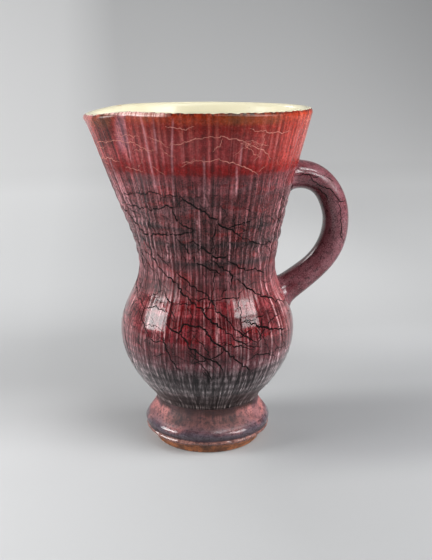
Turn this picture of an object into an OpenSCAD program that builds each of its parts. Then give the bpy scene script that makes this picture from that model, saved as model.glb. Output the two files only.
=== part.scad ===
// Glazed stoneware jug: a thrown body on a pedestal foot, with a luted beak spout, a pulled
// handle, a cream glaze inside and a red crackle glaze outside. Millimetres, +Z up, the origin
// on the table under the body's axis, the handle along +X and the spout along -X.

/* [Body] */
// Height from the table to the glazed rim
jug_h = 200; // [190:1:215]
// Largest radius of the rim, in the clay
rim_r = 59.7; // [57:0.1:62]
// Lean of the neck at the rim, from upright
rim_lean = 14.5; // [8:0.5:18]
// Radius of the waist, in the clay
waist_r = 39.8; // [38:0.1:42]
// Height of the waist
waist_z = 109; // [105:1:113]
// Radius of the belly, in the clay
belly_r = 51.6; // [49:0.1:55]
// Height of the belly's widest point
belly_z = 70; // [66:1:74]
// Thickness of the wall up to the waist
wall_t = 4.5; // [3.5:0.1:5.5]
// Thickness of the wall at the rim
rim_t = 3.6; // [3:0.1:4.5]
// Thickness of the floor at its middle
floor_t = 6; // [4:0.5:9]

/* [Curves of the wall] */
// Angle at which the wall leaves the foot, above level
spring_angle = 42; // [33:1:53]
// Run of the curve as it leaves the foot
spring_run = 15; // [10:0.5:18]
// Upright run below the belly's widest point
belly_low_run = 18; // [14:0.5:22]
// Upright run above the belly's widest point
belly_high_run = 14; // [10:0.5:18]
// Upright run below the waist
waist_low_run = 13; // [10:0.5:16]
// Upright run above the waist
waist_high_run = 15; // [11:0.5:20]
// Straight run of the neck below the rim
rim_run = 31; // [22:1:38]
// Level run of the floor inside
floor_run = 36; // [30:0.5:38]

/* [Throwing rings] */
// How many rings stand proud round the neck
ring_count = 3; // [1:1:4]
// Height of the lowest ring above the table
ring_z = 118; // [114:0.5:122]
// Distance from one ring to the next
ring_pitch = 9.5; // [7:0.5:12]
// How far a ring stands proud
ring_h = 0.5; // [0.2:0.1:0.9]

/* [Coats] */
// Thickness of the outer glaze
glaze_t = 0.5; // [0.3:0.1:0.8]
// Thickness of the glaze inside
liner_t = 0.5; // [0.3:0.1:0.8]
// Thickness of the slip between the foot and the body
foot_slip_t = 0.5; // [0.3:0.1:1]
// Width of the ring of slip between the foot and the body
foot_slip_w = 8.5; // [6:0.5:11]

/* [Foot] */
// Height of the foot, to the underside of the body
foot_h = 27.5; // [25:0.5:31]
// Radius of the foot where it meets the body
foot_top_r = 29; // [26.5:0.1:31.5]
// Largest radius of the foot
foot_r = 36.8; // [34.3:0.1:39.3]
// Height of the foot's largest radius
foot_bulge_z = 12.5; // [10:0.5:15]
// Outer radius of the standing ring
base_r = 31.9; // [30.5:0.1:33]
// Radius of the hollow under the foot, at the table
hollow_r = 23.5; // [20.5:0.5:25.5]
// Radius of the hollow where it meets the body
hollow_top_r = 20; // [16.5:0.5:22.5]
// Rounding of the standing ring's two edges
base_round = 1.3; // [0.8:0.1:2]
// Upright run below the foot's largest radius
foot_low_run = 5; // [3:0.5:7]
// Upright run above the foot's largest radius
foot_high_run = 2.5; // [1.5:0.5:4.5]
// Height of the bare clay under the edge of the glaze
bare_h = 6; // [4:0.5:8]

/* [Spout] */
// How far the tip of the lip stands out past the rim, in the clay
spout_reach = 10.3; // [7.3:0.1:13.3]
// Radius of the beak at its lip, in the clay
spout_r = 38.5; // [35:0.5:42]
// How far the tip lies below the rim
spout_droop = 3; // [1.5:0.5:5]
// Height where the throat leaves the neck
throat_z = 126; // [122:1:134]
// How far the throat swells past a straight line
throat_swell = 2.5; // [0:0.5:4]
// Lean of the lip at the tip, from upright
lip_lean = 36; // [26:1:42]
// Length of the lip that rolls outwards
lip_run = 7; // [4:0.5:10]

/* [Handle] */
// Height of the middle of the upper joint
handle_top_z = 161; // [158:1:164]
// Height of the middle of the lower joint
handle_low_z = 90; // [87:1:93]
// Height where the handle stands furthest out
handle_mid_z = 132.5; // [128:0.5:136]
// Clear width between the neck and the handle
finger_gap = 26.5; // [23:0.5:30]
// Thickness of the handle, seen from the side
handle_t = 14.7; // [12.5:0.1:16.5]
// Width of the handle, seen from its end
handle_w = 18; // [14:0.5:22]
// Rise of the handle as it leaves the neck
handle_top_rise = 22; // [14:1:28]
// Slope of the handle as it meets the belly
handle_low_slope = 46; // [40:1:50]
// Run of the upper end before it bends
handle_top_run = 20; // [16:0.5:23]
// Run of the lower end before it bends
handle_low_run = 12; // [9:0.5:16]
// Upright run above the point furthest out
handle_upper_run = 12.5; // [10:0.5:16]
// Upright run below the point furthest out
handle_lower_run = 28; // [23:0.5:31]
// How much the upper end swells at its joint
top_flare = 0.1; // [0:0.02:0.2]
// How much the lower end swells at its joint
low_flare = 0.16; // [0:0.02:0.3]

/* [Hidden] */
$fn = 48;

clay_color = "peru";
slip_color = "burlywood";
red_glaze_color = "firebrick";
plum_glaze_color = "rosybrown";
cream_glaze_color = "cornsilk";

wall_steps = 12;      // points on each curve below the waist
neck_steps = 36;      // points up the neck outside, enough to draw its rings
inner_steps = 14;     // points up the neck inside
lip_steps = 5;        // points on each half of a rounded lip
beak_steps = 14;      // points up the beak
handle_steps = 15;    // rings on each half of the handle
handle_sides = 20;    // points round the handle
air = 30;             // how far a cutting shape runs past the rim
beak_root = 20;       // how far the beak runs on below its throat, inside the neck
handle_root = 9;      // how far the handle's core runs on inside the wall

clay_top = jug_h - liner_t;         // crest of the lip, in the clay
lip_half = rim_t / 2;               // radius of the rounded lip
lip_r = rim_r - lip_half;           // radius of the lip's crest
lip_z = clay_top - lip_half;        // height of the centre of the rounded lip
floor_z = foot_h + floor_t;         // top of the floor, in the clay
foot_clay_h = foot_h - foot_slip_t; // top of the foot, in the clay

// A cubic curve through p[0] and p[3], its slope at t, and the outward side of that slope
function bezier(p, t) = pow(1 - t, 3) * p[0] + 3 * t * pow(1 - t, 2) * p[1]
    + 3 * t * t * (1 - t) * p[2] + pow(t, 3) * p[3];
function bezier_slope(p, t) = pow(1 - t, 2) * (p[1] - p[0])
    + 2 * t * (1 - t) * (p[2] - p[1]) + t * t * (p[3] - p[2]);
function outward(v) = [v[1], -v[0]] / norm(v);
function side(p, t) = outward(bezier_slope(p, t));

// Points on a curve from step first to step last of n, moved sideways by d
function span(p, n, d = 0, first = 0) =
    [for (i = [first:n]) bezier(p, i / n) + d * side(p, i / n)];
function arc(centre, r, from, to, n) =
    [for (i = [0:n]) let (a = from + (to - from) * i / n) centre + r * [cos(a), sin(a)]];

// The wall in three curves: foot to belly, belly to waist, waist to rim
low_curve = [
    [foot_top_r, foot_h],
    [foot_top_r, foot_h] + spring_run * [cos(spring_angle), sin(spring_angle)],
    [belly_r, belly_z - belly_low_run],
    [belly_r, belly_z]
];
middle_curve = [
    [belly_r, belly_z],
    [belly_r, belly_z + belly_high_run],
    [waist_r, waist_z - waist_low_run],
    [waist_r, waist_z]
];
rim_start = [lip_r, lip_z] + lip_half * [cos(rim_lean), -sin(rim_lean)];
neck_curve = [
    [waist_r, waist_z],
    [waist_r, waist_z + waist_high_run],
    rim_start - rim_run * [sin(rim_lean), cos(rim_lean)],
    rim_start
];
// The bowl inside, from the middle of the floor to the belly
bowl_curve = [
    [0, floor_z],
    [floor_run, floor_z],
    [belly_r - wall_t, belly_z - belly_low_run],
    [belly_r - wall_t, belly_z]
];

// Throwing rings are soft waves that start and end at nothing
function ring_wave(z) =
    let (turns = (z - ring_z) / ring_pitch)
    abs(turns - (ring_count - 1) / 2) > ring_count / 2 ? 0 : ring_h * (1 + cos(360 * turns)) / 2;
function with_rings(points) = [for (p = points) [p[0] + ring_wave(p[1]), p[1]]];

// Wall thickness at a height above the waist
function neck_t(z) = wall_t + (rim_t - wall_t) * (z - waist_z) / (rim_start[1] - waist_z);

// The outer wall, from the foot to the lip and on to its crest, d outside the clay
function outer_side(d) = concat(
    [[foot_top_r + d / side(low_curve, 0)[0], foot_h]],
    span(low_curve, wall_steps, d, 1),
    span(middle_curve, wall_steps, d, 1),
    with_rings(span(neck_curve, neck_steps, d, 1))
);
function outer_wall(d) = concat(
    outer_side(d),
    arc([lip_r, lip_z], lip_half + d, -rim_lean, 90, lip_steps)
);
// The inner wall, from the middle of the floor to the crest of the lip, d inside the clay
function inner_wall(d) = concat(
    span(bowl_curve, wall_steps, -d),
    span(middle_curve, wall_steps, -wall_t - d, 1),
    [for (i = [1:inner_steps - 1])
        let (t = i / inner_steps, p = bezier(neck_curve, t))
        p - (neck_t(p[1]) + d) * side(neck_curve, t)],
    arc([lip_r, lip_z], lip_half + d, 180 - rim_lean, 90, lip_steps)
);
function wall_r(z) = lookup(z, [for (p = outer_side(0)) [p[1], p[0]]]);

// A band between two lines, closed at both ends
function band(near, far) = concat(near, [for (i = [len(far) - 1:-1:0]) far[i]]);

// Filled shapes of the body: its outside with d of glaze, and the room inside d of glaze
module body_outside(d) {
    rotate_extrude() polygon(concat([[0, foot_h]], outer_wall(d), [[0, clay_top + d]]));
}
module body_column(d) {
    wall = [for (p = outer_wall(d)) if (p[1] < lip_z) p];
    rotate_extrude() polygon(concat(
        [[0, foot_h]],
        wall,
        [[rim_r + d, lip_z], [rim_r + d, clay_top + air], [0, clay_top + air]]
    ));
}
module body_inside(d) {
    rotate_extrude() polygon(concat(inner_wall(d), [[lip_r, clay_top + air], [0, clay_top + air]]));
}
// The coat of glaze round the body, before the spout and the handle are taken out of it
module body_coat() {
    rotate_extrude() polygon(band(outer_wall(0), outer_wall(glaze_t)));
}

// The beak turns about its own axis, which leans so that the tip lies below the rim
tip_r = rim_r + spout_reach; // from the body's axis to the tip
beak_offset = tip_r - spout_r;
crease_x = (rim_r * rim_r + beak_offset * beak_offset - spout_r * spout_r) / (2 * beak_offset);
beak_tilt = atan(spout_droop / (tip_r - crease_x));
beak_across = [cos(beak_tilt), sin(beak_tilt)];
beak_up = [-sin(beak_tilt), cos(beak_tilt)];
beak_top = [-tip_r, clay_top - spout_droop] + spout_r * beak_across;
beak_lip = [spout_r - lip_half, -lip_half];
lip_turn = lip_lean - beak_tilt;
throat = let (p = [-wall_r(throat_z), throat_z] - beak_top) [-p * beak_across, p * beak_up];
beak_end = beak_lip + lip_half * [cos(lip_turn), -sin(lip_turn)];
beak_bend = beak_end - lip_run * [sin(lip_turn), cos(lip_turn)];
beak_rise = beak_bend - throat;
beak_curve = [throat, throat + beak_rise / 2 + throat_swell * outward(beak_rise), beak_bend, beak_end];
beak_fall = (throat - beak_curve[1]) / norm(throat - beak_curve[1]);

// The beak's wall from its root to its lip, moved sideways by d, and the lip rounded over it
function beak_line(d) = concat(
    [throat + beak_root * beak_fall + d * side(beak_curve, 0)],
    span(beak_curve, beak_steps, d, 1)
);
function beak_round(d) = concat(
    beak_line(d),
    arc(beak_lip, lip_half + d, -lip_turn, 180 - lip_turn, 2 * lip_steps)
);
module beak_turn(line) {
    translate([beak_top[0], 0, beak_top[1]])
        rotate([0, -beak_tilt, 0])
            rotate_extrude() polygon(line);
}
module beak_shell() {
    beak_turn(band(beak_round(0), beak_line(-rim_t)));
}
// A line on the beak, carried straight on past the rim and filled in to the beak's axis
module beak_filled(line) {
    end = line[len(line) - 1];
    beak_turn(concat(
        [[0, line[0][1]]],
        line,
        [[end[0] + (air - end[1]) * tan(lip_turn), air], [0, air]]
    ));
}

// The handle's middle line, in the plane through the spout
top_joint = [wall_r(handle_top_z), handle_top_z];
low_joint = [wall_r(handle_low_z), handle_low_z];
top_way = [cos(handle_top_rise), sin(handle_top_rise)];
low_way = [cos(handle_low_slope), sin(handle_low_slope)];
handle_far = [wall_r(handle_mid_z) + finger_gap + 2 * glaze_t + handle_t / 2, handle_mid_z];
upper_half = [
    top_joint - handle_root * top_way,
    top_joint + handle_top_run * top_way,
    handle_far + [0, handle_upper_run],
    handle_far
];
lower_half = [
    handle_far,
    handle_far - [0, handle_lower_run],
    low_joint + handle_low_run * low_way,
    low_joint - handle_root * low_way
];
flare_share = 0.55; // share of each half over which an end swells
function swell(u, flare) = 1 + flare * pow(max(0, 1 - u / flare_share), 2);

// Points round the handle at step i of a half, in a plane square to its middle line
function handle_ring(half, u, size, d) =
    let (p = bezier(half, u), across = side(half, u))
    [for (j = [0:handle_sides - 1])
        let (
            a = 360 * j / handle_sides,
            in_plane = p + (size * handle_t / 2 + d) * cos(a) * across
        )
        [in_plane[0], (size * handle_w / 2 + d) * sin(a), in_plane[1]]];
function handle_rings(d) = concat(
    [for (i = [0:handle_steps])
        let (u = i / handle_steps) handle_ring(upper_half, u, swell(u, top_flare), d)],
    [for (i = [1:handle_steps])
        let (u = i / handle_steps) handle_ring(lower_half, u, swell(1 - u, low_flare), d)]
);
// A closed loft through rings of points
module loft(rings) {
    n = len(rings[0]);
    last = len(rings) - 1;
    polyhedron(
        points = [for (ring = rings) each ring],
        faces = concat(
            [[for (j = [0:n - 1]) j]],
            [for (i = [0:last - 1], j = [0:n - 1], half = [0, 1])
                let (a = i * n + j, b = i * n + (j + 1) % n)
                half == 0 ? [a, a + n, b + n] : [a, b + n, b]],
            [[for (j = [n - 1:-1:0]) last * n + j]]
        )
    );
}
module handle_core(d = 0) {
    loft(handle_rings(d));
}

// The foot's outer curve, d outside the clay, and the hollow under it
foot_low_curve = [
    [base_r, base_round],
    [base_r, base_round] + [(foot_r - base_r) / 3, (foot_bulge_z - base_round) / 3],
    [foot_r, foot_bulge_z - foot_low_run],
    [foot_r, foot_bulge_z]
];
foot_high_curve = [
    [foot_r, foot_bulge_z],
    [foot_r, foot_bulge_z + foot_high_run],
    [foot_top_r, foot_clay_h] + [foot_r - foot_top_r, foot_bulge_z - foot_clay_h] / 3,
    [foot_top_r, foot_clay_h]
];
function foot_side(d) = concat(
    span(foot_low_curve, wall_steps, d),
    span(foot_high_curve, wall_steps, d, 1)
);

// Clay pieces
module body() {
    color(clay_color) difference() {
        rotate_extrude() polygon(concat([[0, foot_h]], band(outer_wall(0), inner_wall(0))));
        beak_filled(beak_line(-rim_t));
    }
}

module spout() {
    color(clay_color) difference() {
        beak_shell();
        body_column(glaze_t);
    }
}

module foot() {
    color(clay_color) rotate_extrude() polygon(concat(
        arc([hollow_r + base_round, base_round], base_round, 180, 270, lip_steps),
        arc([base_r - base_round, base_round], base_round, 270, 360, lip_steps),
        [for (p = foot_side(0)) if (p[1] > base_round) p],
        [[hollow_top_r, foot_clay_h]]
    ));
}

module handle() {
    color(clay_color) difference() {
        handle_core();
        body_outside(glaze_t);
    }
}

// Slip that lutes each piece to the body
module spout_slip() {
    color(slip_color) intersection() {
        rotate_extrude() polygon(band(outer_side(0), outer_side(glaze_t)));
        beak_shell();
    }
}

module foot_slip() {
    color(slip_color) translate([0, 0, foot_clay_h]) difference() {
        cylinder(h = foot_slip_t, r = foot_top_r);
        translate([0, 0, -foot_slip_t]) cylinder(h = 3 * foot_slip_t, r = foot_top_r - foot_slip_w);
    }
}

module handle_slip() {
    color(slip_color) intersection() {
        body_coat();
        handle_core();
    }
}

// Glaze coats
module body_glaze() {
    color(red_glaze_color) difference() {
        body_coat();
        beak_filled(beak_line(0));
        handle_core();
    }
}

module spout_glaze() {
    color(red_glaze_color) difference() {
        beak_turn(band(beak_round(0), beak_round(glaze_t)));
        body_column(glaze_t);
    }
}

module foot_glaze() {
    clay_side = [for (p = foot_side(0)) if (p[1] > bare_h) p];
    coat_side = [for (p = foot_side(glaze_t)) if (p[1] > bare_h && p[1] < foot_clay_h) p];
    color(plum_glaze_color) rotate_extrude() polygon(concat(
        clay_side,
        [[foot_top_r, foot_h], [foot_top_r + glaze_t, foot_h]],
        [for (i = [len(coat_side) - 1:-1:0]) coat_side[i]]
    ));
}

module handle_glaze() {
    color(plum_glaze_color) difference() {
        handle_core(glaze_t);
        handle_core();
        body_outside(glaze_t);
    }
}

module liner_glaze() {
    color(cream_glaze_color) difference() {
        rotate_extrude() polygon(band(inner_wall(0), inner_wall(liner_t)));
        beak_filled(beak_line(-rim_t));
    }
}

module spout_liner() {
    color(cream_glaze_color) difference() {
        beak_turn(band(beak_line(-rim_t), beak_line(-rim_t - liner_t)));
        body_inside(liner_t);
    }
}

body();
spout();
foot();
handle();
spout_slip();
foot_slip();
handle_slip();
body_glaze();
spout_glaze();
foot_glaze();
handle_glaze();
liner_glaze();
spout_liner();
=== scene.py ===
import math
import bpy
import numpy as np
from mathutils import Matrix


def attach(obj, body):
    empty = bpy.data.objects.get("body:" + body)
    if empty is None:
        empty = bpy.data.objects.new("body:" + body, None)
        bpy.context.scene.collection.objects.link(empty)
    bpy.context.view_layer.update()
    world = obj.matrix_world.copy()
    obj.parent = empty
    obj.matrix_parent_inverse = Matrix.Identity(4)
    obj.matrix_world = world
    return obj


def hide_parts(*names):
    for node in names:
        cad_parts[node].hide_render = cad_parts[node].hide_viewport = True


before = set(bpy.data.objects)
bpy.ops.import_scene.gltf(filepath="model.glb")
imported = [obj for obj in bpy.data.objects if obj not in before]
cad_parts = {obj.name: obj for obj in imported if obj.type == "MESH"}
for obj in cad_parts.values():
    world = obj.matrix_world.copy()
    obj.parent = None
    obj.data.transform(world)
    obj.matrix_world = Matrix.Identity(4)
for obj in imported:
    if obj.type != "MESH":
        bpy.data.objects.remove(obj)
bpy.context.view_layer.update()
scene = bpy.context.scene
scene.view_settings.view_transform = "Standard"
print("frame loaded")

# The camera stands off the jug's axis, looks a little down and a little past the axis
cameraValues = {
    "distance": 0.5007, "height": 0.2266, "azimuth": -8.0, "yaw": -8.6, "pitch": 14.43,
    "focalPixels": 860.9, "imageHeight": 560, "sensor": 36.0,
}
cameraData = bpy.data.cameras.new("camera")
cameraData.sensor_fit = "VERTICAL"
cameraData.sensor_height = cameraValues["sensor"]
cameraData.lens = cameraValues["sensor"] * cameraValues["focalPixels"] / cameraValues["imageHeight"]
cameraData.clip_start = 0.01
camera = bpy.data.objects.new("camera", cameraData)
azimuth = math.radians(cameraValues["azimuth"])
camera.location = (
    cameraValues["distance"] * math.sin(azimuth),
    -cameraValues["distance"] * math.cos(azimuth),
    cameraValues["height"],
)
camera.rotation_euler = (
    math.radians(90 - cameraValues["pitch"]), 0, math.radians(cameraValues["yaw"])
)
scene.collection.objects.link(camera)
scene.camera = camera
print("camera set")


# A shader value with operators; make() adds any other node
class Field:
    def __init__(self, tree, socket):
        self.tree = tree
        self.socket = socket

    def make(self, kind, settings=None, inputs=None, output=0):
        node = self.tree.nodes.new(kind)
        for name, value in (settings or {}).items():
            setattr(node, name, value)
        for name, value in (inputs or {}).items():
            if isinstance(value, Field):
                self.tree.links.new(value.socket, node.inputs[name])
            else:
                node.inputs[name].default_value = value
        return Field(self.tree, node.outputs[output])

    def math(self, operation, *values):
        return self.make("ShaderNodeMath", {"operation": operation}, dict(enumerate(values)))

    def __add__(self, other):
        return self.math("ADD", self, other)

    def __radd__(self, other):
        return self.math("ADD", other, self)

    def __sub__(self, other):
        return self.math("SUBTRACT", self, other)

    def __rsub__(self, other):
        return self.math("SUBTRACT", other, self)

    def __mul__(self, other):
        return self.math("MULTIPLY", self, other)

    def __rmul__(self, other):
        return self.math("MULTIPLY", other, self)

    def __truediv__(self, other):
        return self.math("DIVIDE", self, other)

    def __rtruediv__(self, other):
        return self.math("DIVIDE", other, self)

    def __pow__(self, other):
        return self.math("POWER", self, other)

    # Goes smoothly from 0 to 1 between two values
    def rise(self, low, high):
        return self.make(
            "ShaderNodeMapRange", {"interpolation_type": "SMOOTHSTEP"},
            {"Value": self, "From Min": low, "From Max": high},
        )

    # A bump of height 1 at a value, half as high at a width to either side
    def peak(self, centre, width):
        return 1.0 / (1.0 + ((self - centre) / width) ** 2.0)

    # Follows points (value, level or colour), with straight lines between them
    def ramp(self, points):
        low, high = points[0][0], points[-1][0]
        node = self.tree.nodes.new("ShaderNodeValToRGB")
        while len(node.color_ramp.elements) < len(points):
            node.color_ramp.elements.new(1.0)
        for element, (value, level) in zip(node.color_ramp.elements, points):
            element.position = (value - low) / (high - low)
            element.color = tone(level) if isinstance(level, tuple) else (level, level, level, 1)
        share = (self - low) / (high - low)
        self.tree.links.new(share.socket, node.inputs[0])
        return Field(self.tree, node.outputs[0])

    def mix(self, first, second, blend="MIX"):
        return self.make(
            "ShaderNodeMix", {"data_type": "RGBA", "blend_type": blend, "clamp_factor": True},
            {0: self, 6: asColour(first), 7: asColour(second)}, 2,
        )


# A screen colour, written 0 to 255, as the linear colour that shaders use
def tone(colour):
    share = np.asarray(colour, float) / 255
    linear = np.where(share < 0.04045, share / 12.92, ((share + 0.055) / 1.055) ** 2.4)
    return tuple(float(v) for v in linear) + (1.0,)


def asColour(value):
    return value if isinstance(value, Field) else tone(value)


# Object coordinates of a new material, and its three parts
def newMaterial(name):
    material = bpy.data.materials.new(name)
    material.use_nodes = True
    tree = material.node_tree
    shader = tree.nodes["Principled BSDF"]
    coordinates = tree.nodes.new("ShaderNodeTexCoord")
    place = Field(tree, coordinates.outputs["Object"])
    split = tree.nodes.new("ShaderNodeSeparateXYZ")
    tree.links.new(place.socket, split.inputs[0])
    axes = [Field(tree, output) for output in split.outputs]
    return material, shader, place, axes


def connect(shader, name, field):
    field.tree.links.new(field.socket, shader.inputs[name])


def vector(x, y, z):
    return x.make("ShaderNodeCombineXYZ", None, {0: x, 1: y, 2: z})


def noise(place, scale, detail=2.0, roughness=0.5, distortion=0.0):
    return place.make(
        "ShaderNodeTexNoise", None,
        {"Vector": place, "Scale": scale, "Detail": detail, "Roughness": roughness,
         "Distortion": distortion},
    )


# A colour made lighter or darker by a factor
def shaded(colour, factor):
    return colour.make("ShaderNodeVectorMath", {"operation": "SCALE"}, {0: colour, "Scale": factor})


def bump(height, distance, strength=1.0):
    return height.make(
        "ShaderNodeBump", None, {"Height": height, "Distance": distance, "Strength": strength}
    )


# Distance from the jug's axis
def axisDistance(axes):
    return (axes[0] * axes[0] + axes[1] * axes[1]) ** 0.5


# Noise by the direction from the jug's axis, so that it runs down the wall and has no seam
def streakNoise(axes, turns, rise, detail, roughness):
    x, y, z = axes
    radius = axisDistance(axes)
    return noise(vector(x / radius * turns, y / radius * turns, z * rise), 1.0, detail, roughness)


# Noise in flat spots, drawn out round the wall
def flatNoise(axes, across, rise, detail, roughness):
    x, y, z = axes
    return noise(vector(x * across, y * across, z * rise), 1.0, detail, roughness)


# Mesh helpers; shapes are worked out in millimetres
millimetre = 0.001


def addPiece(name, points, polygons, material, slot=None, nodes=(), attributes=None):
    mesh = bpy.data.meshes.new(name)
    mesh.vertices.add(len(points))
    mesh.vertices.foreach_set("co", (points * millimetre).astype(np.float32).ravel())
    corners = np.concatenate([group.ravel() for group in polygons])
    sizes = np.concatenate([np.full(len(group), group.shape[1]) for group in polygons])
    mesh.loops.add(len(corners))
    mesh.loops.foreach_set("vertex_index", corners.astype(np.int32))
    mesh.polygons.add(len(sizes))
    mesh.polygons.foreach_set("loop_start", (np.cumsum(sizes) - sizes).astype(np.int32))
    mesh.update(calc_edges=True)
    mesh.validate()
    mesh.shade_smooth()
    for label, values in (attributes or {}).items():
        layer = mesh.attributes.new(label, "FLOAT", "POINT")
        layer.data.foreach_set("value", values.astype(np.float32))
    mesh.materials.append(material)
    piece = bpy.data.objects.new(name, mesh)
    scene.collection.objects.link(piece)
    if slot:
        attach(piece, "root")
    if nodes:
        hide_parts(*nodes)
    return piece


# Quads of a grid of rows, closed round its columns; start is the number of its first point
def gridQuads(rows, columns, start=0, flip=False):
    row, column = np.meshgrid(np.arange(rows - 1), np.arange(columns), indexing="ij")
    here = start + row * columns + column
    beside = start + row * columns + (column + 1) % columns
    quads = np.stack([here, beside, beside + columns, here + columns], -1).reshape(-1, 4)
    return quads[:, ::-1] if flip else quads


# Triangles that join a ring of points to one with fewer points
def joinRings(fine, coarse, flip=False):
    ratio = len(fine) // len(coarse)
    number = np.arange(len(fine))
    group = number // ratio
    fans = np.stack([fine, np.roll(fine, -1), coarse[group]], -1)
    last = np.arange(len(coarse))
    edges = np.roll(fine, -1)[last * ratio + ratio - 1]
    tips = np.stack([edges, np.roll(coarse, -1), coarse], -1)
    triangles = np.concatenate([fans, tips])
    return triangles[:, ::-1] if flip else triangles


# Triangles from a ring of points to one middle point
def closeRing(ring, middle, flip=False):
    fan = np.stack([ring, np.roll(ring, -1), np.full(len(ring), middle)], -1)
    return fan[:, ::-1] if flip else fan


# Shape of the turned wall, the same sizes as the solids, in millimetres and degrees
jug = {
    "height": 200.0, "rimRadius": 59.7, "rimLean": 14.5, "waistRadius": 39.8, "waistHeight": 109.0,
    "bellyRadius": 51.6, "bellyHeight": 70.0, "wall": 4.5, "rimWall": 3.6, "floorHeight": 33.5,
    "springAngle": 42.0, "springRun": 15.0, "bellyLowRun": 18.0, "bellyHighRun": 14.0,
    "waistLowRun": 13.0, "waistHighRun": 15.0, "rimRun": 31.0, "floorRun": 36.0,
    "ringCount": 3, "ringHeight": 118.0, "ringPitch": 9.5, "ringRise": 0.5,
    "footHeight": 27.5, "footTopRadius": 29.0, "glaze": 0.5,
    "tipReach": 70.0, "beakRadius": 38.5, "beakDroop": 3.0, "throatHeight": 126.0,
    "throatSwell": 2.5, "lipLean": 36.0, "lipRun": 7.0, "creaseWidth": 1.8, "creaseSpread": 1.4,
    "creaseHeight": 170.0, "creaseRun": 40.0, "liningCrease": 1.2,
}
steps = np.linspace(0, 1, 200)


# A cubic curve from the first to the last of four points, drawn towards the two between them
def curvePoints(points, share):
    a, b, c, d = np.asarray(points, float)
    t = share[:, None]
    return (1 - t) ** 3 * a + 3 * t * (1 - t) ** 2 * b + 3 * t * t * (1 - t) * c + t ** 3 * d


# The way such a curve runs, of length 1, and the side to its right
def curveSlope(points, share):
    a, b, c, d = np.asarray(points, float)
    t = share[:, None]
    slope = (1 - t) ** 2 * (b - a) + 2 * t * (1 - t) * (c - b) + t * t * (d - c)
    return slope / np.linalg.norm(slope, axis=1)[:, None]


def curveSide(points, share):
    slope = curveSlope(points, share)
    return np.stack([slope[:, 1], -slope[:, 0]], -1)


# A flat direction of length 1 at an angle
def direction(degrees):
    return np.array([math.cos(math.radians(degrees)), math.sin(math.radians(degrees))])


# The larger of two values, rounded over where they are about equal
def softMax(first, second, width):
    share = np.clip(0.5 + 0.5 * (first - second) / width, 0, 1)
    return first * share + second * (1 - share) + width * share * (1 - share)


# A bell curve of height 1 about a centre
def bell(value, centre, reach):
    return np.exp(-((value - centre) / reach) ** 2)


clayTop = jug["height"] - jug["glaze"]
lipHalf = jug["rimWall"] / 2
springPoint = np.array([jug["footTopRadius"], jug["footHeight"]])
bellyPoint = np.array([jug["bellyRadius"], jug["bellyHeight"]])
waistPoint = np.array([jug["waistRadius"], jug["waistHeight"]])
rimSide = direction(-jug["rimLean"])
rimWay = np.array([-rimSide[1], rimSide[0]])
rimStart = np.array([jug["rimRadius"] - lipHalf, clayTop - lipHalf]) + lipHalf * rimSide
upright = np.array([0.0, 1.0])
lowCurve = [
    springPoint, springPoint + jug["springRun"] * direction(jug["springAngle"]),
    bellyPoint - jug["bellyLowRun"] * upright, bellyPoint,
]
middleCurve = [
    bellyPoint, bellyPoint + jug["bellyHighRun"] * upright,
    waistPoint - jug["waistLowRun"] * upright, waistPoint,
]
neckCurve = [
    waistPoint, waistPoint + jug["waistHighRun"] * upright,
    rimStart - jug["rimRun"] * rimWay, rimStart,
]
insideBelly = bellyPoint - np.array([jug["wall"], 0])
bowlCurve = [
    (0, jug["floorHeight"]), (jug["floorRun"], jug["floorHeight"]),
    insideBelly - jug["bellyLowRun"] * upright, insideBelly,
]


# Height of the throwing rings: a raised cosine for each turn, and 0 beyond them
def throwingRings(height):
    turns = (height - jug["ringHeight"]) / jug["ringPitch"]
    inside = np.abs(turns - (jug["ringCount"] - 1) / 2) <= jug["ringCount"] / 2
    return np.where(inside, jug["ringRise"] * (1 + np.cos(2 * np.pi * turns)) / 2, 0)


# Curves joined in one line, moved out by an offset
def joinedLine(curves, offset):
    return np.concatenate([curvePoints(c, steps) + offset * curveSide(c, steps) for c in curves])


# A line without points that rise no higher than the one before
def risingLine(line):
    return line[np.append(True, np.diff(line[:, 1]) > 1e-6)]


# The turned outer line, moved out by an offset: three curves from the foot to the rim
def outerLine(offset):
    line = joinedLine((lowCurve, middleCurve, neckCurve), offset)
    line[:, 0] += throwingRings(line[:, 1])
    return risingLine(line)


# The turned inner line above the belly, with the wall thinning to the rim
def innerLine(offset):
    middle = curvePoints(middleCurve, steps) - (jug["wall"] + offset) * curveSide(middleCurve, steps)
    neck = curvePoints(neckCurve, steps)
    share = (neck[:, 1] - jug["waistHeight"]) / (rimStart[1] - jug["waistHeight"])
    thick = jug["wall"] + (jug["rimWall"] - jug["wall"]) * share + offset
    return risingLine(np.concatenate([middle, neck - thick[:, None] * curveSide(neckCurve, steps)]))


# Radius on a line at a height, carried on straight past its upper end
def lineRadius(line, height):
    way = (line[-1] - line[-2]) / (line[-1, 1] - line[-2, 1])
    past = np.maximum(height - line[-1, 1], 0)
    return np.interp(height, line[:, 1], line[:, 0]) + past * way[0]


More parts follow.
